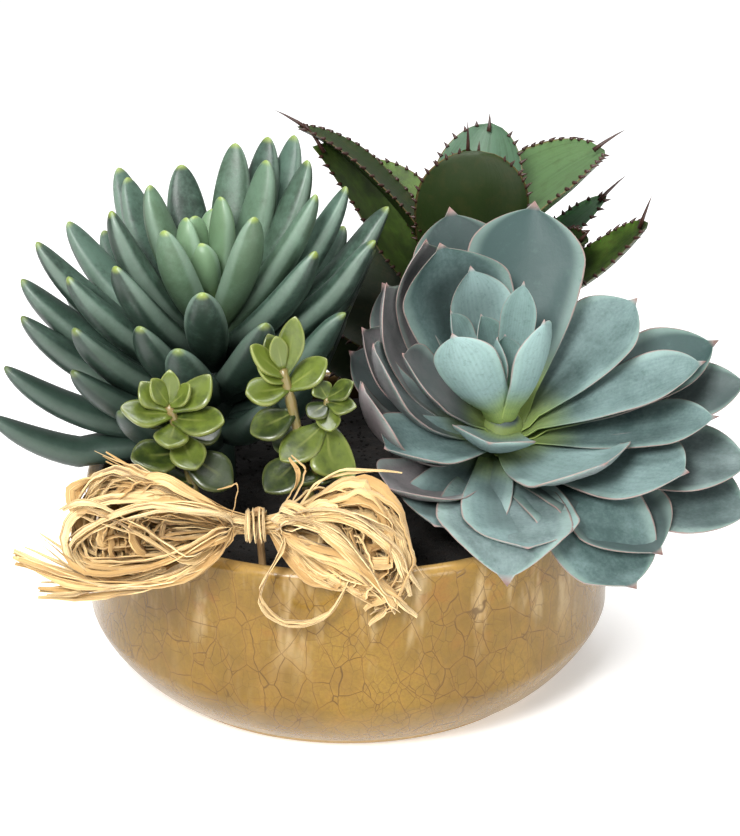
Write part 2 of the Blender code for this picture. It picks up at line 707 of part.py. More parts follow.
def make_jade_left(soil):
    """The left sprig: one leafy stem."""
    limits = (BLUE_OFF_JADE.opposite(), JADE_OFF_BOW, JADES_APART, over_soil)
    core = tube("stem", curve_points(JADE_LEFT, 7), [1.9, 1.9, 1.8, 1.7, 1.6, 1.5, 1.4], 6)
    leaves = stem_leaves(JADE_LEFT, JADE_LEFT_LEAVES, limits)
    stem_hole(soil, JADE_LEFT[0], curve_points(JADE_LEFT, 7)[3], 2.4)
    return fused("jade_sprig_left", core, leaves, material("jade_leaf_left", (0.16, 0.28, 0.05), 0.3))


def make_jade_right(soil):
    """The right sprig: a taller stem with a branch to its right."""
    limits = (BLUE_OFF_JADE.opposite(), ECHEVERIA_OFF_JADE.opposite(), JADE_OFF_BOW, JADES_APART.opposite(),
              over_soil)
    core = tube("stem", curve_points(JADE_RIGHT, 8), [1.9, 1.9, 1.9, 1.8, 1.7, 1.6, 1.5, 1.4], 6)
    branch = tube("branch", curve_points(JADE_BRANCH, 5), [1.3, 1.4, 1.3, 1.2, 1.1], 6)
    leaves = stem_leaves(JADE_RIGHT, JADE_RIGHT_LEAVES, limits)
    leaves += stem_leaves(JADE_BRANCH, JADE_BRANCH_LEAVES, limits)
    stem_hole(soil, JADE_RIGHT[0], curve_points(JADE_RIGHT, 8)[3], 2.4)
    return fused("jade_sprig_right", core, [branch, *leaves], material("jade_leaf_right", (0.16, 0.28, 0.05), 0.3))


def strand_solid(points, width, twist, limits):
    """A flat raffia strand through its points, turning as it goes."""
    rings = []
    for i, point in enumerate(points):
        before, after = points[max(i - 1, 0)], points[min(i + 1, len(points) - 1)]
        way = (after - before).normalized()
        flat = way.cross(Vector((0.2, 1.0, 0.1))).normalized()
        flat.rotate(Matrix.Rotation(twist[0] + twist[1] * i / len(points), 3, way))
        thin = way.cross(flat).normalized()
        ring = [point + flat * width / 2, point + thin * STRAND_THICK, point - flat * width / 2]
        inner = (point - WAIST).length < WAIST_HALF + 4.0
        rings.append(ring if inner else clear_of(ring, limits))
    return lofted("strand", rings)


@dataclass(frozen=True)
class BowLoop:
    """A spray of raffia loops to one side: its strands' reach, rise, drop, depth and slope, and how many."""

    side: int
    reach: float
    rise: float
    drop: float
    forward: float
    slope: float
    strands: int


BOW_LOOPS = (
    BowLoop(-1, 56.0, 19.0, 14.0, 9.0, 0.0, 5),
    BowLoop(1, 47.0, 19.0, 15.0, 11.0, -0.15, 5),
)


def loop_strands(loop, limits, draw):
    """The strands of one side of the bow, one inside the next: out from the waist, round and back."""
    strands = []
    for i in range(loop.strands):
        share = 0.46 + 0.54 * i / (loop.strands - 1)
        spin = 2 * math.pi * i / loop.strands
        inset = Vector((0, math.cos(spin), math.sin(spin))) * WAIST_RADIUS * 0.45
        middle = WAIST + inset + Vector((loop.side * WAIST_HALF * STRAND_ROOT, 0, 0))
        forward = -loop.forward * draw.uniform(-0.1, 1.1)
        points = [middle]
        for step in range(1, LOOP_STEPS):
            turn = math.pi * (step / LOOP_STEPS - 0.5)
            out = loop.reach * share * math.cos(turn) ** 0.7
            high = loop.rise if turn < 0 else loop.drop
            lift = -high * (0.45 + 0.55 * share) * math.sin(2 * turn)
            depth = forward * math.sin(math.pi * step / LOOP_STEPS)
            lift += loop.slope * out + draw.uniform(-1, 1)
            points.append(middle + Vector((loop.side * out, depth, lift)))
        points.append(WAIST - inset + Vector((loop.side * WAIST_HALF * STRAND_ROOT, 0, 0)))
        twist = (draw.uniform(0, 3.1), draw.uniform(-1.2, 1.2))
        strands.append(strand_solid(points, STRAND_WIDTH * draw.uniform(0.8, 1.2), twist, limits))
    return strands


# Loose strands: the places each one passes, from the waist
LOOSE_STRANDS = (
    # The tails, forward of the left loop
    ((-12, -6, -6), (-28, -11, -13), (-50, -11, -11), (-67, -6, 0)),
    ((-12, -6, -7), (-28, -11, -14), (-52, -11, -14), (-74, -6, -8)),
    ((-12, -6, -7), (-30, -11, -15), (-52, -11, -17), (-68, -8, -19)),
    # The thin curl that hangs under the right loop
    ((9, -8, -4), (1, -12, -19), (9, -13, -27), (22, -13, -24), (30, -11, -10)),
    # Strays that stand up
    ((-16, -3, 4), (-30, -2, 14), (-47, 1, 23)),
    ((14, -3, 9), (24, -1, 18), (46, 1, 18)),
    ((10, -3, 8), (15, -1, 18), (12, 0, 24)),
    ((-8, -3, 4), (-5, -3, 14), (-12, -3, 13)),
    # Ribbons that lie across the loops
    ((-14, -10, 9), (-34, -13, 12), (-56, -11, 0), (-46, -11, -12), (-30, -11, -9)),
    ((-20, -12, -6), (-34, -13, 4), (-50, -12, 12), (-57, -6, 8)),
    ((-14, -10, 0), (-32, -13, -6), (-50, -11, -9), (-58, -8, -2)),
    ((12, -11, 10), (26, -14, 4), (40, -13, -14), (46, -9, -22)),
    ((14, -12, 0), (28, -14, -6), (42, -12, -20), (36, -9, -25)),
    ((10, -11, 6), (28, -14, 10), (44, -12, -2), (49, -8, -16)),
)


def through(stops, count):
    """Points on a smooth curve through its stops."""
    ends = [stops[0] * 2 - stops[1], *stops, stops[-1] * 2 - stops[-2]]
    spans = len(stops) - 1
    points = []
    for i in range(count):
        at = min(spans * i / (count - 1), spans - 1e-6)
        k, t = int(at), at - int(at)
        a, b, c, d = ends[k:k + 4]
        bend = (a * -1 + b * 3 - c * 3 + d) * t ** 3 + (a * 2 - b * 5 + c * 4 - d) * t ** 2
        points.append((bend + (c - a) * t + b * 2) * 0.5)
    return points


def loose_strands(limits, draw):
    """The tails to the left, the curl below, the strays above and the ribbons across the loops."""
    strands = []
    for places in LOOSE_STRANDS:
        side = 1 if places[-1][0] > 0 or places[0][0] > 0 else -1
        start = WAIST + Vector((side * WAIST_HALF * STRAND_ROOT, draw.uniform(-0.6, 0.6), draw.uniform(-1, 1)))
        stops = [start]
        for place in places:
            spread = Vector([draw.uniform(-1, 1) for _ in range(3)])
            stops.append(WAIST + Vector(place) + spread)
        twist = (draw.uniform(-0.5, 0.5), draw.uniform(-0.8, 0.8))
        strands.append(strand_solid(through(stops, LOOSE_STEPS), STRAND_WIDTH, twist, limits))
    return strands


def make_bow():
    """The bow: every strand runs through one gathered waist."""
    limits = (ECHEVERIA_OFF_BOW.opposite(), JADE_OFF_BOW.opposite(), BLUE_OFF_BOW.opposite(), outside_bowl)
    draw = random.Random(26)
    ends = [WAIST + Vector((s * WAIST_HALF, 0, 0)) for s in (-1, 1)]
    core = tube("waist", [ends[0], WAIST, ends[1]], [WAIST_RADIUS * 0.9, WAIST_RADIUS, WAIST_RADIUS * 0.9], 10)
    strands = [strand for loop in BOW_LOOPS for strand in loop_strands(loop, limits, draw)]
    strands += loose_strands(limits, draw)
    return fused("raffia_bow", core, strands, material("raffia", (0.78, 0.60, 0.33), 0.75), 30.0, "MANIFOLD")


def make_tie():
    """The tie: a strand wound round the waist and lashed round the pick behind it."""
    inner, outer = WAIST_RADIUS + GAP * 1.5, WAIST_RADIUS + GAP * 1.5 + TIE_THICK
    band = band_solid("band", WAIST, Vector((1, 0, 0)), inner, outer, TIE_HALF, 16)
    way, behind = pick_way(), pick_at(WAIST.z)
    lash_in = PICK_RADIUS + GAP * 1.5
    lash = band_solid("lash", behind, way, lash_in, lash_in + 1.3, 2.2, 12)
    return fused("raffia_tie", band, [lash], material("raffia_tie", (0.72, 0.54, 0.28), 0.75), 30.0)


def band_solid(name, centre, axis, inner, outer, half, sides):
    """A flat ring about an axis."""
    mesh = bmesh.new()
    loops = []
    for radius, along in ((inner, -half), (outer, -half), (outer, half), (inner, half)):
        ring = round_ring(centre + axis * along, axis, radius, sides)
        loops.append([mesh.verts.new(p) for p in ring])
    for a, b in zip(loops, loops[1:] + loops[:1]):
        for i in range(sides):
            j = (i + 1) % sides
            mesh.faces.new((a[i], a[j], b[j], b[i]))
    bmesh.ops.triangulate(mesh, faces=mesh.faces)
    return add_object(name, mesh)


def pick_top():
    """The top of the pick, just behind the waist and its tie."""
    back = WAIST_RADIUS + GAP * 1.5 + TIE_THICK + PICK_RADIUS + GAP
    return WAIST + Vector((0.0, back, 2.5))


def pick_way():
    return (pick_top() - PICK_FOOT).normalized()


def pick_at(height):
    way = pick_way()
    return PICK_FOOT + way * ((height - PICK_FOOT.z) / way.z)


def make_pick(soil):
    """The florist's pick: a thin pointed stick from the back of the bow down into the soil."""
    way = pick_way()
    points = [pick_top(), PICK_FOOT + way * PICK_TIP]
    rings = [round_ring(p, way, PICK_RADIUS, 8) for p in points]
    pick = lofted("bow_pick", rings, PICK_FOOT)
    pick.data.materials.append(material("pick_wood", (0.55, 0.40, 0.22), 0.7))
    stem_hole(soil, PICK_FOOT, pick_top(), PICK_RADIUS)
    return pick


def clear_scene():
    for item in list(bpy.data.objects):
        bpy.data.objects.remove(item)


def main():
    clear_scene()
    _, outer = make_bowl()
    soil = make_soil(outer)
    make_blue_rosette(soil)
    make_echeveria(soil)
    make_agave(soil)
    make_jade_left(soil)
    make_jade_right(soil)
    make_bow()
    make_tie()
    make_pick(soil)


if __name__ == "__main__":
    main()
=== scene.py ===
"""The looks of the succulent dish garden: a crackle-glazed bowl, five plants and a raffia bow.

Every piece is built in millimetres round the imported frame's own places, written to its mesh in
metres, and dressed with a procedural finish. The front of the arrangement faces -Y.
"""

from __future__ import annotations

import logging
import math
import random
from collections.abc import Callable, Sequence
from dataclasses import dataclass, field, replace
from enum import Enum
from functools import partial, reduce
from typing import Any

import bmesh
import bpy
import numpy as np
from mathutils import Matrix, Vector, noise

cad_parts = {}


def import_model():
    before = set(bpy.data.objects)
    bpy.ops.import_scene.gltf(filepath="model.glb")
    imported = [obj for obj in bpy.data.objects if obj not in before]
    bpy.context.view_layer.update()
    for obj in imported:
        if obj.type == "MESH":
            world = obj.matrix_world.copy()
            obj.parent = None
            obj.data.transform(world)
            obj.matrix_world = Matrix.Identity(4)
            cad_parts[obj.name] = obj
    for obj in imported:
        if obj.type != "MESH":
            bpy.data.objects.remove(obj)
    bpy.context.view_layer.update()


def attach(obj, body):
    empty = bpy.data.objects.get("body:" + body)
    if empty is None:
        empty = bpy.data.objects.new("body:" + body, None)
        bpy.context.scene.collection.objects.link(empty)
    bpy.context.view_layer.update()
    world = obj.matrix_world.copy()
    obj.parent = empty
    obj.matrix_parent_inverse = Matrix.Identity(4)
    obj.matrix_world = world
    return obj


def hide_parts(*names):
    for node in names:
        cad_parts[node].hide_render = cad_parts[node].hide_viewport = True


LOG = logging.getLogger("dish_garden")
MM = 0.001
ROOT = "root"

# A display channel as a shader's: the straight part's end and slope, and the curve
STRAIGHT_END = 10.3
STRAIGHT_SLOPE = 12.92
CURVE_LIFT = 0.055
CURVE_POWER = 2.4

# Bowl and soil, in millimetres
BOWL_RADIUS = 90.0
FOOT_RADIUS = 71.5
BOWL_HEIGHT = 71.0
FLARE_HEIGHT = 24.0
FLARE_POWER = 1.3
WALL = 6.0
FLOOR = 7.0
FOOT_BAND = 2.0
RIM_ROUND = 3.0
SOIL_TOP = 63.5
SOIL_BUMP = 1.4

# Leaves: the share of the way that stays by the stem, and the sides of a round section
HELD_ROOT = 0.12
ROUND_SIDES = 16

# The raffia bow's waist and its pick
WAIST = Vector((-28.0, -82.0, 84.5))
WAIST_RADIUS = 3.6
WAIST_HALF = 4.4
PICK_RADIUS = 1.2
PICK_FOOT = Vector((-25.0, -67.0, 36.0))
PICK_TOP = WAIST + Vector((0.0, WAIST_RADIUS + PICK_RADIUS + 2.35, 2.5))

Place = tuple[float, float, float]
Colour = tuple[float, ...]
Rings = list[list[Vector]]
Push = Callable[[Sequence[Vector]], Vector]
Pin = bpy.types.NodeSocket
Material = bpy.types.Material
Item = bpy.types.Object


class Socket(str, Enum):
    """The shader sockets that the finishes set."""

    COLOUR = "Base Color"
    ROUGHNESS = "Roughness"
    NORMAL = "Normal"
    COAT = "Coat Weight"
    COAT_ROUGHNESS = "Coat Roughness"
    SPECULAR = "Specular IOR Level"
    SUBSURFACE = "Subsurface Weight"
    SUBSURFACE_RADIUS = "Subsurface Radius"
    SUBSURFACE_SCALE = "Subsurface Scale"
    SHEEN = "Sheen Weight"
    GLOW = "Emission Strength"


def linear(red: float, green: float, blue: float) -> Colour:
    """A display colour of 0 to 255 a channel as a linear shader colour."""
    return (*((c / 255 / STRAIGHT_SLOPE) if c < STRAIGHT_END
              else ((c / 255 + CURVE_LIFT) / (1 + CURVE_LIFT)) ** CURVE_POWER for c in (red, green, blue)), 1.0)


def flesh(weight: float, spread: Place, scale: float) -> dict[Socket, Any]:
    """The shader's values for light that scatters under a leaf's skin."""
    return {Socket.SUBSURFACE: weight, Socket.SUBSURFACE_RADIUS: spread, Socket.SUBSURFACE_SCALE: scale}


def heading(azimuth: float, pitch: float) -> Vector:
    """The unit direction at this azimuth (0 is +X, 90 is +Y) and pitch, in degrees."""
    a, p = math.radians(azimuth), math.radians(pitch)
    return Vector((math.cos(a) * math.cos(p), math.sin(a) * math.cos(p), math.sin(p)))


def square_to(way: Vector, guide: Place) -> tuple[Vector, Vector]:
    """Two directions square to a way and to each other, turned by a guide."""
    side = way.cross(Vector(guide)).normalized()
    return side, way.cross(side).normalized()


def circle(centre: Vector, way: Vector, radius: float, guide: Place, count: int) -> list[Vector]:
    """Points round a centre, square to a way."""
    side, other = square_to(way, guide)
    turns = [2 * math.pi * k / count for k in range(count)]
    return [centre + (side * math.cos(a) + other * math.sin(a)) * radius for a in turns]


def level(radius: float, turn: float, height: float) -> Vector:
    """The point at a radius from the bowl's axis, a turn round it in radians, and a height."""
    return Vector((radius * math.cos(turn), radius * math.sin(turn), height))


def soft_over(x: float, softness: float = 1.4) -> float:
    """x where it is well above zero and zero well below it, with a smooth turn between."""
    return softness * math.log1p(math.exp(min(x / softness, 60.0)))


def smooth(low: float, high: float, x: float) -> float:
    """A smooth step from 0 at low to 1 at high."""
    t = min(max((x - low) / (high - low), 0.0), 1.0)
    return t * t * (3 - 2 * t)


@dataclass(frozen=True)
class Limit:
    """A flat limit between two neighbours: a point on it and the direction of the plant's side."""

    point: Vector
    normal: Vector
    clear: float = 0.6

    def opposite(self) -> Limit:
        """The same limit for the neighbour on its other side."""
        return replace(self, normal=-self.normal)

    def __call__(self, ring: Sequence[Vector]) -> Vector:
        """The push that carries a section to the plant's side."""
        nearest = min((p - self.point).dot(self.normal) for p in ring)
        return self.normal * soft_over(self.clear - nearest)


def plane(point: Place, normal: Place) -> Limit:
    """A limit through a point, facing a plant."""
    return Limit(Vector(point), Vector(normal).normalized())


BLUE_OFF_ECHEVERIA = plane((-4.0, -25.0, 118.0), (-0.92, 0.145, 0.36))
BLUE_OFF_AGAVE = plane((0.0, 50.0, 100.0), (-0.485, -0.874, 0.0))
BLUE_OFF_JADE = plane((-20.0, -49.0, 135.0), (-0.23, 0.95, 0.19))
ECHEVERIA_OFF_AGAVE = plane((50.0, 33.0, 130.0), (0.0, -1.0, 0.0))
ECHEVERIA_OFF_JADE = plane((-1.0, -56.0, 105.0), (0.76, 0.64, -0.1))
ECHEVERIA_OFF_BOW = plane((10.0, -77.0, 85.0), (0.33, 0.944, 0.0))
JADE_OFF_BOW = plane((0.0, -72.0, 85.0), (0.0, 1.0, 0.12))
BLUE_OFF_BOW = plane((-90.0, -70.0, 90.0), (0.0, 1.0, 0.2))
JADES_APART = plane((-34.0, -60.0, 100.0), (-1.0, 0.0, 0.0))


def over_rim(ring: Sequence[Vector]) -> Vector:
    """The lift that carries a leaf's section clear over the rim and the soil."""
    lift = 0.0
    for p in ring:
        out = max(0.0, math.hypot(p.x, p.y) - BOWL_RADIUS - 1.5)
        lift = max(lift, BOWL_HEIGHT + 2.5 - 0.8 * out - p.z)
    return Vector((0.0, 0.0, soft_over(lift)))


def over_soil(ring: Sequence[Vector]) -> Vector:
    """The lift that carries a low leaf's section clear over the soil."""
    low = min(p.z for p in ring)
    return Vector((0.0, 0.0, soft_over(SOIL_TOP + SOIL_BUMP + 1.5 - low)))


def outside_bowl(ring: Sequence[Vector]) -> Vector:
    """The push that carries a hanging strand's section out past the wall of the bowl."""
    worst, push = 0.0, Vector((0.0, 0.0, 0.0))
    for p in ring:
        radius = math.hypot(p.x, p.y)
        sunk = BOWL_RADIUS + 1.2 + 0.6 * max(-6.0, min(0.0, BOWL_HEIGHT - p.z)) - radius
        if p.z < BOWL_HEIGHT + 8.0 and sunk > worst:
            worst = sunk
            push = Vector((p.x, p.y, 0.0)).normalized() * sunk
    return push


def clear_of(ring: Sequence[Vector], limits: Sequence[Push]) -> list[Vector]:
    """Moves a section, as it is, to the plant's own side of every limit.

    Args:
        ring: The section's points.
        limits: The pushes to apply.

    Returns:
        The section's points where they clear every limit.
    """
    placed = list(ring)
    for _ in range(2):
        for limit in limits:
            shift = limit(placed)
            placed = [p + shift for p in placed]
    return placed


@dataclass
class MeshMaker:
    """Gathers closed bodies with their attributes, and turns them into one mesh in metres."""

    points: list[Vector] = field(default_factory=list)
    faces: list[tuple[int, ...]] = field(default_factory=list)
    values: dict[str, list[float]] = field(default_factory=dict)

    def add_point(self, point: Vector, values: dict[str, float]) -> int:
        """Adds one vertex with its attribute values, and returns its index."""
        self.points.append(point)
        for name, value in values.items():
            self.values.setdefault(name, []).append(value)
        return len(self.points) - 1

    def add_body(self, rings: Rings, marks: list[list[dict[str, float]]], tip: Vector) -> None:
        """Bridges rings into a closed body with a flat root and a tip.

        Args:
            rings: The sections from the root to near the tip.
            marks: The attribute values of each point of each section.
            tip: The point that the last section closes on.
        """
        index = [
            [self.add_point(p, m) for p, m in zip(ring, mark)] for ring, mark in zip(rings, marks)
        ]
        root = self.add_point(sum(rings[0], Vector()) / len(rings[0]), marks[0][0])
        end = self.add_point(tip, {**marks[-1][0], "along": 1.0})
        count = len(rings[0])
        for i in range(count):
            j = (i + 1) % count
            self.faces.append((root, index[0][j], index[0][i]))
            self.faces.append((end, index[-1][i], index[-1][j]))
            for low, high in zip(index, index[1:]):
                self.faces.append((low[i], low[j], high[j], high[i]))

    def add_tube(self, rings: Sequence[tuple[Vector, Vector, float, dict[str, float]]], guide: Place,
                 sides: int, tip: Vector) -> None:
        """Adds a round body.

        Args:
            rings: The centre, the direction, the radius and the attribute values of each section.
            guide: What the sections are turned by.
            sides: The points of a section.
            tip: The point that the last section closes on.
        """
        self.add_body([circle(centre, way, radius, guide, sides) for centre, way, radius, _ in rings],
                      [[mark] * sides for *_, mark in rings], tip)

    def add_turned(self, rows: Rings, first: Vector, last: Vector) -> None:
        """Bridges rows of points round the bowl's axis into a closed body between two poles."""
        start = self.add_point(first, {})
        index = [[self.add_point(p, {}) for p in row] for row in rows]
        end = self.add_point(last, {})
        for i in range(len(rows[0])):
            j = (i + 1) % len(rows[0])
            self.faces += [(start, index[0][i], index[0][j]), (end, index[-1][j], index[-1][i])]
            self.faces += [(a[i], b[i], b[j], a[j]) for a, b in zip(index, index[1:])]

    def build(self, name: str, material: Material) -> Item:
        """Makes the object, with outward faces, smooth shading, a UV map and the attributes.

        Args:
            name: The piece's name.
            material: Its finish.

        Returns:
            The new object, linked to the scene.
        """
        data = bpy.data.meshes.new(name)
        data.from_pydata([p * MM for p in self.points], [], self.faces)
        for label, numbers in self.values.items():
            data.attributes.new(label, "FLOAT", "POINT").data.foreach_set("value", numbers)
        turn_outwards(data)
        if "across" in self.values and "along" in self.values:
            self.map_leaves(data)
        data.shade_smooth()
        data.materials.append(material)
        return link(name, data)

    def map_leaves(self, data: bpy.types.Mesh) -> None:
        """Lays the UV map along and across each leaf."""
        corner = np.empty(len(data.loops), dtype=np.int32)
        data.loops.foreach_get("vertex_index", corner)
        across = np.array(self.values["across"])[corner] * 0.5 + 0.5
        along = np.array(self.values["along"])[corner]
        uv = np.stack([across, along], axis=1).astype(np.float32)
        data.uv_layers.new(name="leaf_map").data.foreach_set("uv", uv.ravel())


def link(name: str, data: bpy.types.ID) -> Item:
    """A new object of this data, linked to the scene."""
    made = bpy.data.objects.new(name, data)
    bpy.context.scene.collection.objects.link(made)
    return made


def turn_outwards(data: bpy.types.Mesh) -> None:
    """Turns every face of a closed mesh outwards."""
    mesh = bmesh.new()
    mesh.from_mesh(data)
    bmesh.ops.recalc_face_normals(mesh, faces=mesh.faces)
    mesh.to_mesh(data)
    mesh.free()


class Nodes:
    """A node tree, with short calls for the nodes that finishes and geometry share."""

    def __init__(self, tree: bpy.types.NodeTree) -> None:
        """Takes the tree that the nodes go in."""
        self.tree = tree

    def new(self, kind: str, inputs: dict[Any, Any], **settings: Any) -> bpy.types.Node:
        """Adds a node, sets its options and feeds its inputs.

        Args:
            kind: The node's type.
            inputs: A value or an output socket for each input, by name or index.
            **settings: The node's own options.

        Returns:
            The new node.
        """
        node = self.tree.nodes.new(kind)
        for name, value in settings.items():
            setattr(node, name, value)
        for name, value in inputs.items():
            self.feed(node.inputs[name], value)
        return node

    def feed(self, socket: Pin, value: Any) -> None:
        """Links an output to a socket, or sets the socket's own value."""
        if isinstance(value, Pin):
            self.tree.links.new(value, socket)
        else:
            socket.default_value = value

    def add(self, kind: str, inputs: dict[Any, Any], **settings: Any) -> bpy.types.Node:
        """Adds one of the nodes that both kinds of tree have, by its type without the prefix."""
        return self.new("ShaderNode" + kind, inputs, **settings)

    def math(self, kind: str, a: Any, b: Any = 0.0, c: Any = 0.0) -> Pin:
        """One step of arithmetic."""
        return self.add("Math", {0: a, 1: b, 2: c}, operation=kind).outputs[0]

    def vector(self, kind: str, a: Any, b: Any = (0.0, 0.0, 0.0), scale: Any = 1.0) -> Pin:
        """One step of vector arithmetic."""
        inputs = {0: a, "Scale": scale} if kind == "SCALE" else {0: a, 1: b}
        node = self.add("VectorMath", inputs, operation=kind)
        return node.outputs["Value" if kind in ("LENGTH", "DOT_PRODUCT") else "Vector"]

    def wander(self, place: Pin, scale: float, detail: float, reach: Any) -> Pin:
        """A small random shift of each place, up to half the reach each way."""
        shift = self.texture(place, scale, detail, output="Color")
        return self.vector("SCALE", self.vector("SUBTRACT", shift, (0.5, 0.5, 0.5)), scale=reach)

    def texture(self, place: Pin, scale: float, detail: float = 2.0, rough: float = 0.5, output: str = "Fac") -> Pin:
        """Noise over a vector, from 0 to 1."""
        inputs = {"Vector": place, "Scale": scale, "Detail": detail, "Roughness": rough}
        return self.add("TexNoise", inputs).outputs[output]


class Graph(Nodes):
    """A material's node tree, with short calls for what the finishes share."""

    def __init__(self, name: str) -> None:
        """Starts a material with its principled shader."""
        self.material = bpy.data.materials.new(name)
        self.material.use_nodes = True
        super().__init__(self.material.node_tree)
        self.place = self.add("TexCoord", {}).outputs["Object"]

    def attributes(self, *names: str) -> list[Pin]:
        """The values of the piece's own attributes."""
        return [self.add("Attribute", {}, attribute_name=name).outputs["Fac"] for name in names]

    def step(self, value: Any, low: float, high: float) -> Pin:
        """A smooth step of a value, from 0 at low to 1 at high."""
        return self.add("MapRange", {0: value, 1: low, 2: high}, interpolation_type="SMOOTHSTEP").outputs[0]

    def line(self, value: Any, slope: float, start: Any) -> Pin:
        """A value times its slope, from a start."""
        return self.math("MULTIPLY_ADD", value, slope, start)

    def total(self, start: float, *terms: tuple[Any, float]) -> Pin:
        """A start and some values, each times its share."""
        return reduce(lambda so_far, term: self.line(*term, so_far), terms, start)

    def times(self, *values: Any) -> Pin:
        """The product of some values."""
        return reduce(partial(self.math, "MULTIPLY"), values)

    def noise(self, grain: float, detail: float = 2.0, rough: float = 0.5, stretch: Place | None = None) -> Pin:
        """Noise with grains of a size in millimetres, from 0 to 1."""
        place = self.add("Mapping", {"Vector": self.place, "Scale": stretch}).outputs[0] if stretch else self.place
        return self.texture(place, 1.0 / (grain * MM), detail, rough)

    def mix(self, factor: Any, a: Any, b: Any) -> Pin:
        """A mix of two colours."""
        return self.add("Mix", {0: factor, 6: a, 7: b}, data_type="RGBA").outputs[2]

    def layers(self, colour: Pin, *paints: tuple[Any, ...]) -> Pin:
        """A colour with paints over it, each as much as the product of the shares that follow it."""
        return reduce(lambda below, paint: self.mix(self.times(*paint[1:]), below, paint[0]), paints, colour)

    def bump(self, height: Any, depth: float, strength: float, normal: Pin | None = None) -> Pin:
        """A bump of a depth in millimetres, over another one if given."""
        below = {} if normal is None else {"Normal": normal}
        return self.add("Bump", {"Height": height, "Distance": depth * MM, "Strength": strength, **below}).outputs[0]

    def finish(self, colour: Any, rough: Any, normal: Pin | None = None,
               more: dict[Socket, Any] | None = None) -> Material:
        """Feeds the shader and returns the material.

        Args:
            colour: The colour's socket or value.
            rough: The roughness's socket or value.
            normal: The bump's socket, if there is one.
            more: The shader's other values.

        Returns:
            The material.
        """
        shader = self.tree.nodes["Principled BSDF"]
        bumped = {} if normal is None else {Socket.NORMAL: normal}
        for socket, value in {Socket.COLOUR: colour, Socket.ROUGHNESS: rough, **bumped, **(more or {})}.items():
            self.feed(shader.inputs[socket.value], value)
        return self.material


